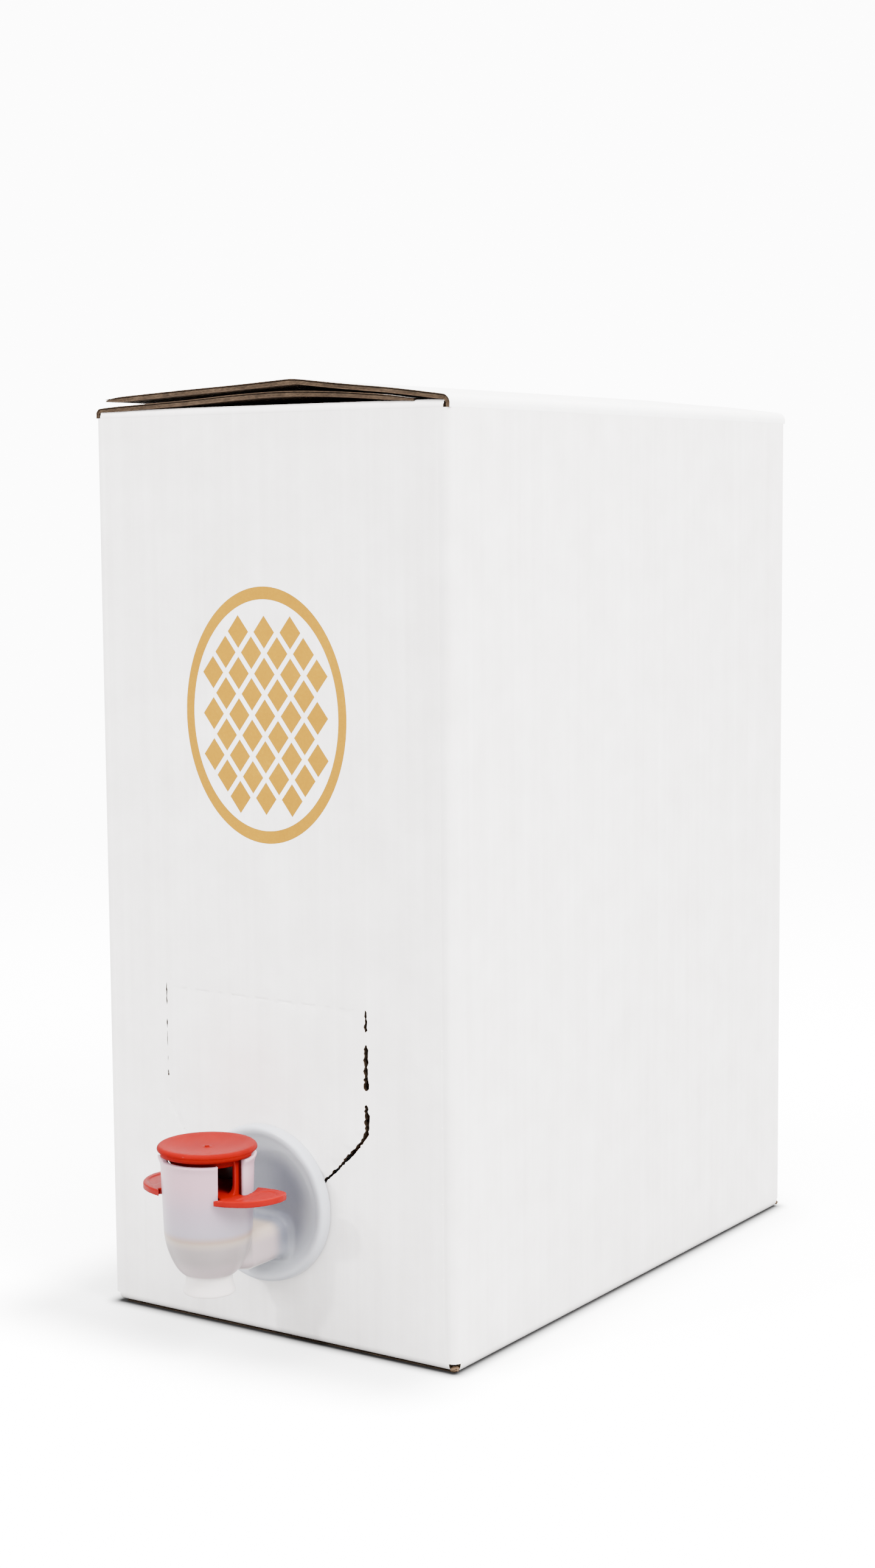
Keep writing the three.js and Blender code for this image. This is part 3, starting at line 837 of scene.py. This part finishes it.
def front_panel(skin):
    half = HALF_WIDTH - FOLD
    corners = [(-half, TUBE_BOTTOM), (half, TUBE_BOTTOM), (half, TUBE_TOP), (-half, TUBE_TOP)]
    hole = ellipse(TAP_X, FLANGE_Z, HOLE_RADIUS, HOLE_RADIUS, 48)
    slits = window_slits()
    shapes = lozenges()
    loops = [[Vector(corner) for corner in corners], hole, *slits, *shapes]
    for share in (1, FRAME_SHARE):
        wide, high = ORNAMENT_HALF_WIDTH * share, ORNAMENT_HALF_HEIGHT * share
        loops.append(ellipse(ORNAMENT_X, ORNAMENT_Z, wide, high, 120))
    places, edges = [], []
    for loop in loops:
        first = len(places)
        places.extend(loop)
        edges.extend((first + i, first + (i + 1) % len(loop)) for i in range(len(loop)))
    grooves = set()
    steps = 24
    for line in score_lines(half):
        for a, b in zip(line, line[1:]):
            a, b = Vector(a), Vector(b)
            across = Vector((a.y - b.y, b.x - a.x)).normalized() * SCORE_HALF_WIDTH
            for side in (-1, 0, 1):
                first = len(places)
                for k in range(steps + 1):
                    places.append(a.lerp(b, k / steps) + across * side)
                    if side == 0 and 0 < k < steps:
                        grooves.add(first + k)
                edges.extend((first + k, first + k + 1) for k in range(steps))
    spacing = 4.0
    for i in range(int(2 * half / spacing) + 1):
        for j in range(int((TUBE_TOP - TUBE_BOTTOM) / spacing) + 1):
            point = Vector((-half + spacing * (i + 0.5), TUBE_BOTTOM + spacing * (j + 0.5)))
            if point.x < half - 1 and point.y < TUBE_TOP - 1:
                places.append(point)
    out_places, _, out_faces, origins, _, _ = geometry.delaunay_2d_cdt(places, edges, [], 0, 1e-5)
    sunk = {i for i, source in enumerate(origins) if grooves.intersection(source)}
    front, back = [], []
    for i, point in enumerate(out_places):
        lift = window_lift(point)
        groove = SCORE_DEPTH if i in sunk else 0
        front.append(at(point.x, FRONT_Y - lift + groove, point.y))
        back.append(at(point.x, FRONT_Y + BOARD - lift, point.y))
    front_ids = skin.add_points(front)
    back_ids = skin.add_points(back)
    uses = {}
    for face in out_faces:
        centre = sum((out_places[i] for i in face), Vector((0, 0))) / len(face)
        if inside(centre, hole) or any(inside(centre, slit) for slit in slits):
            continue
        skin.add_face([front_ids[i] for i in face], INK if is_printed(centre, shapes) else WHITE)
        skin.add_face([back_ids[i] for i in reversed(face)], KRAFT)
        for a, b in zip(face, face[1:] + face[:1]):
            key = (min(a, b), max(a, b))
            uses[key] = uses.get(key, 0) + 1
    for (a, b), count in uses.items():
        if count == 1:
            skin.add_face((front_ids[a], front_ids[b], back_ids[b], back_ids[a]), EDGE)


# Bottom: folds under the walls, and the flaps that close it
def bottom_fold(skin, side, level, seed):
    """A side wall's lower fold and its bottom flap. Level is the flap's lower face."""
    edge = side * HALF_WIDTH
    fold = quarter_fold(edge, side, TUBE_BOTTOM - 0.1 - level, level, 1)
    free = -side * (HALF_WIDTH - 3)
    path = [(edge, TUBE_BOTTOM)] + fold + [(edge - side * 20, level), (0, level), (free, level)]
    half = HALF_DEPTH - FOLD
    corrugated_sheet(skin, path, side, across_y, -half, half, None, seed)


def bottom_dust(skin, end, seed):
    """The front or rear wall's lower fold and its dust flap, which lies on both bottom flaps."""
    edge = end * HALF_DEPTH
    low = 0.9
    level = 2 * BOARD + 0.05
    path = [(edge, TUBE_BOTTOM)] + quarter_fold(edge, end, 1.9, low, 1)
    path.append((edge - end * 3.6, low + 0.1))
    path += [(edge - end * inward, level) for inward in (5.2, 12, DUST_REACH)]
    half = HALF_WIDTH - CORNER_SLOT + 0.9
    corrugated_sheet(skin, path, end, across_x, -half, half, None, seed)


def crushed_corner(skin, y_side, reach, shift):
    """Crumpled raw board where the folds meet at a bottom corner on the right."""
    rows, columns = 14, 20
    size = Vector((reach, reach, 0.95))
    centre = Vector((HALF_WIDTH - reach, y_side * (HALF_DEPTH - reach), 1.3))
    rings = []
    for i in range(1, rows):
        polar = math.pi * i / rows
        ring = []
        for j in range(columns):
            turn = 2 * math.pi * j / columns
            ray = (math.sin(polar) * math.cos(turn), math.sin(polar) * math.sin(turn), math.cos(polar))
            ray = Vector(ray)
            coarse = noise.noise(ray * 2.3 + Vector((shift, 0, 0)))
            fine = noise.noise(ray * 6 + Vector((0, shift, 0)))
            rough = 0.30 * coarse + 0.18 * fine
            ring.append(at(*(centre + ray * size * (0.8 + rough))))
        rings.append(skin.add_points(ring))
    for ring_a, ring_b in zip(rings, rings[1:]):
        skin.bridge(ring_a, ring_b, KRAFT)
    for ring, height in ((rings[0], 0.85), (rings[-1], -0.85)):
        tip = skin.add_points([at(centre.x, centre.y, centre.z + size.z * height)])[0]
        for j in range(columns):
            skin.add_face((ring[j], ring[(j + 1) % columns], tip), KRAFT)


FRONT, REAR = -1, 1
LEFT, RIGHT = -1, 1


def carton():
    skin = Skin()
    walls(skin)
    front_panel(skin)
    dust_flap(skin, FRONT, seed=31)
    dust_flap(skin, REAR, seed=37)
    bottom_fold(skin, RIGHT, 0.0, seed=41)
    bottom_fold(skin, LEFT, BOARD + 0.05, seed=43)
    bottom_dust(skin, FRONT, seed=47)
    bottom_dust(skin, REAR, seed=53)
    piece = skin.build("carton_board", board_materials, "carton")
    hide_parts("carton_body")
    flap = Skin()
    lower_flap(flap)
    flap.build("lower_flap_board", flap_materials, "carton")
    corners = Skin()
    crushed_corner(corners, FRONT, reach=1.5, shift=0)
    crushed_corner(corners, REAR, reach=1.3, shift=3.7)
    corners.build("crushed_corners", board_materials, "carton", smooth=60)


# Tap pieces
def lathe(skin, profile, segments, axis="upright"):
    """A turned solid. The profile is (radius, place along the axis), from the axis back to the axis."""
    rings = []
    for radius, place in profile:
        if radius < 1e-6:
            rings.append(skin.add_points([turn_point(0, 0, place, axis)]))
            continue
        ring = []
        for k in range(segments):
            turn = 2 * math.pi * k / segments
            ring.append(turn_point(radius * math.cos(turn), radius * math.sin(turn), place, axis))
        rings.append(skin.add_points(ring))
    for ring_a, ring_b in zip(rings, rings[1:]):
        for k in range(segments):
            n = (k + 1) % segments
            if len(ring_a) == 1:
                skin.add_face((ring_a[0], ring_b[k], ring_b[n]))
            elif len(ring_b) == 1:
                skin.add_face((ring_a[k], ring_a[n], ring_b[0]))
            else:
                skin.add_face((ring_a[k], ring_a[n], ring_b[n], ring_b[k]))


def turn_point(a, b, place, axis):
    if axis == "upright":
        return at(TAP_X + a, TAP_Y + b, place)
    return at(TAP_X + a, place, FLANGE_Z + b)


def bearing(angle, radius):
    """A point about the tap's axis. Bearing 0 faces the front and 90 faces +X."""
    turn = math.radians(angle)
    return TAP_X + radius * math.sin(turn), TAP_Y - radius * math.cos(turn)


def bowl_row(inner, outer, lowest, steps):
    row = []
    for k in range(steps + 1):
        level = lowest + (BOWL_TOP - lowest) * (1 - math.cos(k / steps * math.pi / 2))
        depth = (BOWL_TOP - level) / (BOWL_TOP - OUTLET_TOP)
        row.append((inner + (outer - inner) * (1 - depth**1.6) ** (1 / 1.6), level))
    return row


def loose_object(name, skin):
    """A solid that is still being cut or joined. It is held in millimetres until finish_moulding."""
    mesh = bpy.data.meshes.new(name)
    mesh.from_pydata([tuple(p / MM) for p in skin.points], [], skin.faces)
    settle_normals(mesh, 180)
    return link_object(name, mesh)


def turned(name, profile, segments, axis="upright"):
    skin = Skin()
    lathe(skin, profile, segments, axis)
    return loose_object(name, skin)


def combine(base, other, operation):
    modifier = base.modifiers.new("combine", "BOOLEAN")
    modifier.operation = operation
    modifier.solver = "MANIFOLD"
    modifier.object = other
    bake_modifiers(base)
    bpy.data.objects.remove(other)


def finish_moulding(piece, material, body, node):
    piece.data.transform(Matrix.Scale(MM, 4))
    piece.data.materials.clear()
    piece.data.materials.append(material)
    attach(piece, body)
    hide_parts(node)


def bake_modifiers(piece):
    depsgraph = bpy.context.evaluated_depsgraph_get()
    mesh = bpy.data.meshes.new_from_object(piece.evaluated_get(depsgraph))
    piece.modifiers.clear()
    piece.data = mesh


def prism(name, outline, low, high, place=at):
    """A closed prism over an outline, from low to high."""
    skin = Skin()
    skin.loft([skin.add_points([place(a, b, level) for a, b in outline]) for level in (low, high)])
    return loose_object(name, skin)


def cut_pie(body, from_angle, to_angle, low):
    """Cuts away a slice of the body's wall, from low to above its top."""
    steps = max(2, int((to_angle - from_angle) / 6))
    outline = [(TAP_X, TAP_Y)]
    for k in range(steps + 1):
        angle = from_angle + (to_angle - from_angle) * k / steps
        outline.append(bearing(angle, CAP_RADIUS + 3))
    combine(body, prism("pie", outline, low, REAR_WALL_TOP + 1), "DIFFERENCE")


def rounded_rectangle(cx, cy, half_w, half_h, radius, steps=6):
    points = []
    for sx, sy, start in ((1, 1, 0), (-1, 1, 90), (-1, -1, 180), (1, -1, 270)):
        x, y = cx + sx * (half_w - radius), cy + sy * (half_h - radius)
        points += arc(x, y, radius, start, start + 90, steps)
    return points


FLANGE_BACK = FRONT_Y - 0.3
FLANGE_FRONT = FLANGE_BACK - 1.6


def neck_solid():
    """The neck from the bowl to the flange, flared where it meets the flange."""
    skin = Skin()
    stations = shifted((TAP_Y, 0), [(3.0, -1.6), (8.5, 0.0)])
    stations += shifted((FLANGE_FRONT, 0), [(-4.0, 0.0), (-1.6, 0.25), (-0.7, 0.8), (-0.1, 1.9), (0.9, 2.2)])
    rings = []
    for y, flare in stations:
        outline = rounded_rectangle(TAP_X, 28.8, 8.4 + flare, 5.2 + flare, 3.2 + flare * 0.6)
        rings.append(skin.add_points([at(a, y, b) for a, b in outline]))
    skin.loft(rings)
    return loose_object("neck", skin)


def tap_shell():
    segments = 128
    lip = (OUTLET_LIP_RADIUS, OUTLET_LIP)
    top = (BODY_TOP_RADIUS, REAR_WALL_TOP)
    outside = [
        (0, OUTLET_LIP),
        *shifted(lip, [(-0.25, 0), (0, 0.25), (0, 0.8), (-0.3, 1.7)]),
        (OUTLET_RADIUS + 0.1, OUTLET_LIP + 3.0),
        *bowl_row(OUTLET_RADIUS, BODY_LOW_RADIUS, OUTLET_TOP, 16),
        *shifted(top, [(-0.1, -2.6), (0.1, -1.7), (0.6, -0.6), (0.65, 0)]),
        (0, REAR_WALL_TOP),
    ]
    body = turned("tap_shell", outside, segments)
    combine(body, neck_solid(), "UNION")
    back = FLANGE_BACK
    dish = [(-7.5, -0.02), (-5.0, -0.25), (-3.4, -0.85), (-2.3, -1.65)]
    rim = [(-1.5, -3.65), (-0.75, -3.62), (-0.25, -3.2), (0, -2.4), (0, 0)]
    rear = [(-1.3, 0), (-1.5, -1.2), (-4.0, -0.4), (-6.0, 0)]
    flange = [
        (0, FLANGE_FRONT),
        *shifted((FLANGE_RADIUS, FLANGE_FRONT), dish),
        *shifted((FLANGE_RADIUS, back), rim + rear),
        *shifted((SPIGOT_RADIUS, back), [(0, 0), (0, 14), (-0.6, 15)]),
        (0, back + 15),
    ]
    combine(body, turned("flange", flange, segments, "level"), "UNION")
    bowl = bowl_row(OUTLET_RADIUS, BODY_LOW_RADIUS - BODY_WALL, 27.0, 12)
    above = REAR_WALL_TOP + 1
    floor_radius = 7.0
    chamber = [(0, CHAMBER_FLOOR), (floor_radius, CHAMBER_FLOOR)]
    chamber += [p for p in bowl if p[0] > floor_radius] + [(BODY_TOP_RADIUS - BODY_WALL, above), (0, above)]
    combine(body, turned("chamber", chamber, segments), "DIFFERENCE")
    outlet = [(0, OUTLET_LIP - 1), (5.6, OUTLET_LIP - 1), (5.2, OUTLET_LIP + 0.4), (4.3, OUTLET_TOP)]
    outlet += [(4.3, CHAMBER_FLOOR + 1), (0, CHAMBER_FLOOR + 1)]
    combine(body, turned("outlet", outlet, 64), "DIFFERENCE")
    bore = [(0, back - 0.3), (11.0, back - 0.3), (11.0, back + 16), (0, back + 16)]
    combine(body, turned("bore", bore, 64, "level"), "DIFFERENCE")
    circle = arc(TAP_X, 29.6, 3.1, 0, 345, 23)
    passage = prism("passage", circle, TAP_Y, back + 0.5, lambda a, b, y: at(a, y, b))
    combine(body, passage, "DIFFERENCE")
    cut_pie(body, -28, WINDOW_FRONT, FRONT_WALL_TOP)
    low = LEVER_UNDERSIDE - 0.3
    cut_pie(body, WINDOW_FRONT, WINDOW_REAR, low)
    cut_pie(body, -WINDOW_REAR, -WINDOW_FRONT, low)
    soften(body, 0.38)
    finish_moulding(body, milky_body, "carton", "tap_body")


def soften(piece, voxel):
    """Evens out a moulding: one skin of small faces, with every edge slightly rounded."""
    remesh = piece.modifiers.new("remesh", "REMESH")
    remesh.mode = "VOXEL"
    remesh.voxel_size = voxel
    remesh.use_smooth_shade = True
    smoothing = piece.modifiers.new("smooth", "SMOOTH")
    smoothing.factor = 0.5
    smoothing.iterations = 5
    bake_modifiers(piece)
    for polygon in piece.data.polygons:
        polygon.use_smooth = True


def thumb_disc():
    skin = Skin()
    rim = CAP_RADIUS
    step_level = CAP_UNDERSIDE + 0.85
    collar = [(0, 0.5), (9.0, 0.5), (9.0, -1.9), (9.2, -2.1), (9.8, -2.1), (10.0, -1.9)]
    dish = [(-1.8, -0.04), (-3.0, -0.22), (-5.0, -0.5), (-8.0, -0.76), (-11.0, -0.88)]
    pip = [(0.75, -0.9), (0.62, -0.82), (0.55, -0.58), (0.3, -0.5), (0, -0.5)]
    turns = [math.radians(angle) for angle in (-60, -30, 0)]
    profile = [
        *shifted((0, CAP_UNDERSIDE), collar),
        (10.0, step_level - 0.4),
        *shifted((rim, step_level), [(-0.9, -0.4), (-0.5, -0.2)]),
        *[(rim - 0.55 + 0.55 * math.cos(t), step_level + 0.45 + 0.5 * math.sin(t)) for t in turns],
        *arc(rim - 1.0, CAP_TOP - 1.0, 1.0, 0, 90, 9),
        *shifted((rim, CAP_TOP), dish),
        *shifted((0, CAP_TOP), pip),
    ]
    lathe(skin, profile, 128)
    add_skirt(skin, -28, 100, step_level)
    piece = skin.build("thumb_disc", [shaded_red_disc], "carton", smooth=40, weighted=False)
    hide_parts("thumb_cap")


def add_skirt(skin, from_angle, to_angle, top):
    """The deeper front stretch of the disc's skirt, which ends in a small step."""
    lower = [(-1.2, 0.2), (-0.9, 0), (-0.45, 0), (-0.1, 0.3), (-0.01, 0.7)]
    section = [(CAP_RADIUS - 1.2, top), *shifted((CAP_RADIUS, CAP_UNDERSIDE), lower)]
    section += shifted((CAP_RADIUS, top), [(-0.01, 0.3), (-1.0, 0.3)])
    rings = []
    steps = 48
    for k in range(steps + 1):
        angle = from_angle + (to_angle - from_angle) * k / steps
        ring = [at(*bearing(angle, radius), level) for radius, level in section]
        rings.append(skin.add_points(ring))
    skin.loft(rings)


def plate_outline():
    """The lever plate from above: a disc inside the body, two roots through the windows, two wings."""
    inner = 9.9
    hug = 12.75
    right = [local_bearing(angle, inner) for angle in range(0, 55, 6)]
    right += [local_bearing(angle, hug) for angle in (54, 50, 44.7)]
    wing = [(8.95, -9.05), (12.6, -8.1), (15.2, -6.9), (17.4, -5.4), (19.2, -3.2), (20.4, -0.9), (21.1, 1.3)]
    wing += [(21.35, 3.4), (21.1, 5.6), (20.2, 7.2), (18.6, 7.9), (15.0, 8.0), (12.6, 7.8), (10.7, 7.25)]
    right += smooth_row(wing, 0.8)[1:]
    right += [local_bearing(angle, hug) for angle in (*range(120, 87, -5), 87)]
    right += [local_bearing(angle, inner) for angle in (87, *range(90, 180, 6))]
    left = [(-x, y) for x, y in reversed(right[1:])]
    return right + [(0, inner)] + left


def local_bearing(angle, radius):
    turn = math.radians(angle)
    return radius * math.sin(turn), -radius * math.cos(turn)


RECESS_DEPTH = 0.3


def recess_outline():
    """A smaller copy of the wing's outer half, for the shallow hollow in its top."""
    middle = Vector((16.6, 1.0))
    edge = [(12.9, -6.9), (17.0, -4.6), (19.4, -1.4), (20.1, 3.2), (19.0, 6.2)]
    edge += [(14.6, 6.6), (13.4, 3.0), (13.4, -3.0), (12.9, -6.9)]
    return [tuple(middle + (Vector(p) - middle) * 0.86) for p in smooth_row(edge, 0.8)[:-1]]


def wing_plate():
    outline = [(TAP_X + x, TAP_Y + y) for x, y in plate_outline()]
    piece = prism("wing_plate", outline, LEVER_UNDERSIDE, LEVER_TOP)
    for side in (RIGHT, LEFT):
        outline = [(TAP_X + side * x, TAP_Y + y) for x, y in recess_outline()]
        recess = prism("recess", outline, LEVER_TOP - RECESS_DEPTH, LEVER_TOP + 1)
        combine(piece, recess, "DIFFERENCE")
    radius = 3.2
    low, high = 29.4, LEVER_UNDERSIDE + 0.3
    piston = [(radius, -1), (7.3, -1), (7.5, -0.8), (7.5, 0.8), (7.3, 1), (radius, 1)]
    stem = [(0, low), (radius, low), *shifted((0, PISTON_Z), piston), (radius, high), (0, high)]
    combine(piece, turned("stem", stem, 64), "UNION")
    soften(piece, 0.2)
    finish_moulding(piece, red, "lever", "wing_lever")


def flex_leg(side, name):
    """A flat leg from the thumb disc down to the plate, with a curved foot and shoulder."""
    skin = Skin()
    low, high = LEVER_TOP - 0.35, CAP_UNDERSIDE + 0.1
    outer = 10.35
    steps = 28
    rings = []
    for k in range(steps + 1):
        level = low + (high - low) * k / steps
        foot = 1.6 * math.exp(-(level - low) / 0.8)
        shoulder = 1.1 * math.exp(-(high - level) / 0.7)
        half_width = 1.5 + foot + shoulder
        inner = 9.3 - foot - shoulder
        outline = rounded_rectangle((inner + outer) / 2, 0, (outer - inner) / 2, half_width, 0.35, 3)
        rings.append(skin.add_points([at(TAP_X + side * a, TAP_Y + b, level) for a, b in outline]))
    skin.loft(rings)
    piece = skin.build(name + "_moulded", [red], None, smooth=50, weighted=False)
    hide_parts(name)
    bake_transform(piece)


def filled_bag():
    """The liner bag: a rounded block of film, creased all over, with a pocket round the gland."""
    low, high = node_box("bag")
    gland_low, gland_high = node_box("gland")
    centre = (low + high) / 2
    slack = 0.6
    half = (high - low) / 2 - Vector((slack, slack, slack))
    corner = 14
    work = bmesh.new()
    bmesh.ops.create_cube(work, size=2)
    bmesh.ops.subdivide_edges(work, edges=work.edges[:], cuts=40, use_grid_fill=True)
    core = half - Vector((corner, corner, corner))
    pocket_radius = (gland_high.x - gland_low.x) / 2 + 0.4
    for vertex in work.verts:
        spread = vertex.co * half
        inner = Vector([max(-c, min(c, s)) for s, c in zip(spread, core)])
        out = spread - inner
        direction = out.normalized() if out.length > 1e-6 else Vector((0, 0, 0))
        point = centre + inner + direction * corner
        crease = noise.fractal(point * 0.045, 1.0, 2.1, 5)
        point -= direction * (0.9 + 0.9 * crease)
        off_axis = math.hypot(point.x - TAP_X, point.z - FLANGE_Z)
        if point.y < 0 and off_axis < pocket_radius + 6:
            depth = min(1, max(0, (pocket_radius + 6 - off_axis) / 5))
            point.y = max(point.y, point.y * (1 - depth) + (gland_high.y + slack) * depth)
        vertex.co = at(point.x, point.y, point.z)
    mesh = bpy.data.meshes.new("filled_bag")
    work.to_mesh(mesh)
    work.free()
    mesh.materials.append(film)
    settle_normals(mesh, 180)
    piece = link_object("filled_bag", mesh)
    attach(piece, "carton")
    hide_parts("bag")


def dress_node(name, material):
    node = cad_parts[name]
    node.data.materials.clear()
    node.data.materials.append(material)
    for polygon in node.data.polygons:
        polygon.material_index = 0


# Camera, fitted to the carton's corners in a frame of 1438 by 2576 pixels
CAMERA_PLACE = (403.6, -616.1, 223.3)
CAMERA_YAW = math.radians(-33.84)
CAMERA_PITCH = math.radians(6.34)
CAMERA_ROLL = math.radians(-0.44)
FOCAL_PIXELS = 4123.6
FRAME_HEIGHT_PIXELS = 2576
SENSOR = 36.0


def add_camera():
    data = bpy.data.cameras.new("camera")
    data.sensor_width = SENSOR
    data.sensor_fit = "AUTO"
    data.lens = SENSOR * FOCAL_PIXELS / FRAME_HEIGHT_PIXELS
    data.clip_start = 0.01
    data.clip_end = 50
    flat = math.cos(CAMERA_PITCH)
    forward = (math.sin(CAMERA_YAW) * flat, math.cos(CAMERA_YAW) * flat, -math.sin(CAMERA_PITCH))
    forward = Vector(forward)
    level = Vector((math.cos(CAMERA_YAW), -math.sin(CAMERA_YAW), 0))
    upright = level.cross(forward)
    right = level * math.cos(CAMERA_ROLL) + upright * math.sin(CAMERA_ROLL)
    up = upright * math.cos(CAMERA_ROLL) - level * math.sin(CAMERA_ROLL)
    matrix = Matrix((right, up, -forward)).transposed().to_4x4()
    matrix.translation = at(*CAMERA_PLACE)
    camera = link_object("camera", data)
    camera.matrix_world = matrix
    bpy.context.scene.camera = camera


# Studio light. What the camera sees straight on is brighter than the light that falls on the carton,
# as in a room with a lit white sweep
BACKDROP = 12.0
SURROUND = 2.3
SWEEP_SHOWN = 1.75
SWEEP_THROWN = 0.42
SWEEP_START = 0.4
SWEEP_END = 1.3

# Each light's name, place, target, size, power, and whether glossy faces mirror it
LIGHTS = [
    ("key_left", (-0.8, -0.95, 1.0), (0, -0.05, 0.1), (0.5, 0.6), 27, False),
    ("fill_right", (1.25, -0.25, 1.15), (0, 0, 0.12), (0.8, 0.8), 125, False),
    ("top", (0.0, 0.0, 1.6), (0, 0, 0.1), (2.0, 2.0), 165, False),
    ("glint", (-0.35, -1.05, 0.62), (0, -0.12, 0.05), (0.06, 0.04), 12, True),
]


def add_area_light(name, place, target, size, power, mirrored):
    data = bpy.data.lights.new(name, "AREA")
    data.shape = "RECTANGLE"
    data.size, data.size_y = size
    data.energy = power
    light = link_object(name, data)
    light.location = place
    light.rotation_euler = (Vector(target) - Vector(place)).to_track_quat("-Z", "Y").to_euler()
    light.visible_glossy = mirrored


def shown_and_thrown(tree, shown, thrown):
    """One strength for what the camera sees straight on, and another for the light on the object."""
    seen = tree.nodes.new("ShaderNodeLightPath").outputs["Is Camera Ray"]
    return math_node(tree, "ADD", math_node(tree, "MULTIPLY", seen, shown - thrown), thrown)


# Where the carton stands, in metres, and how far the floor's painted contact shadow and painted soft shade
# reach
FOOT_HALF = (0.056, 0.092, 0)
CONTACT = (0.0005, 0.0062)
CONTACT_DARK = 0.04
SHADE_SHIFT = (-0.012, -0.012, 0)
SHADE = (0.0, 0.035)
SHADE_DARK = 0.42


def distance_from_foot(tree, shift):
    """How far a place on the floor is from the carton's foot, moved by shift."""
    place = vector_node(tree, "SUBTRACT", object_places(tree), shift)["Vector"]
    place = vector_node(tree, "ABSOLUTE", place)["Vector"]
    place = vector_node(tree, "SUBTRACT", place, FOOT_HALF)["Vector"]
    place = vector_node(tree, "MAXIMUM", place, (0, 0, 0))["Vector"]
    return vector_node(tree, "LENGTH", place)["Value"]


def shaded(tree, shift, reach, dark):
    """The value dark beside the carton's foot, and 1 away from it."""
    share = fade(tree, distance_from_foot(tree, shift), *reach)
    return math_node(tree, "ADD", math_node(tree, "MULTIPLY", share, 1 - dark), dark)


def add_floor():
    """The white sweep that the carton stands on, with a painted contact shadow and painted shade beside the
    carton. It fades into the backdrop away from the carton.
    """
    material, tree, shader = new_material("studio_floor", {})
    white = tree.nodes.new("ShaderNodeBsdfDiffuse")
    # Painted contact shadow and painted shade darken the floor's colour
    contact = shaded(tree, (0, 0, 0), CONTACT, CONTACT_DARK)
    shade = shaded(tree, SHADE_SHIFT, SHADE, SHADE_DARK)
    colour = math_node(tree, "MULTIPLY", contact, shade)
    colour = math_node(tree, "MULTIPLY", colour, shown_and_thrown(tree, SWEEP_SHOWN, SWEEP_THROWN))
    tree.links.new(colour, white.inputs["Color"])
    clear = tree.nodes.new("ShaderNodeBsdfTransparent")
    mix = tree.nodes.new("ShaderNodeMixShader")
    length = vector_node(tree, "LENGTH", object_places(tree))["Value"]
    tree.links.new(fade(tree, length, SWEEP_START, SWEEP_END), mix.inputs["Fac"])
    tree.links.new(white.outputs["BSDF"], mix.inputs[1])
    tree.links.new(clear.outputs["BSDF"], mix.inputs[2])
    tree.links.new(mix.outputs["Shader"], tree.nodes["Material Output"].inputs["Surface"])
    tree.nodes.remove(shader)
    mesh = bpy.data.meshes.new("floor")
    reach = 2.0
    corners = [(-reach, -reach, 0), (reach, -reach, 0), (reach, reach, 0), (-reach, reach, 0)]
    mesh.from_pydata(corners, [], [(0, 1, 2, 3)])
    mesh.materials.append(material)
    link_object("floor", mesh)


def add_studio():
    world = bpy.data.worlds.new("studio")
    world.use_nodes = True
    tree = world.node_tree
    background = tree.nodes["Background"]
    background.inputs["Color"].default_value = (1, 1, 1, 1)
    tree.links.new(shown_and_thrown(tree, BACKDROP, SURROUND), background.inputs["Strength"])
    bpy.context.scene.world = world
    for light in LIGHTS:
        add_area_light(*light)


add_camera()
add_studio()
add_floor()
carton()
outer_flap()
filled_bag()
tap_shell()
thumb_disc()
wing_plate()
flex_leg(RIGHT, "flex_leg_right")
flex_leg(LEFT, "flex_leg_left")
dress_node("gland", milky_gland)
dress_node("piston_seal", rubber)
dress_node("valve_plug", rubber)
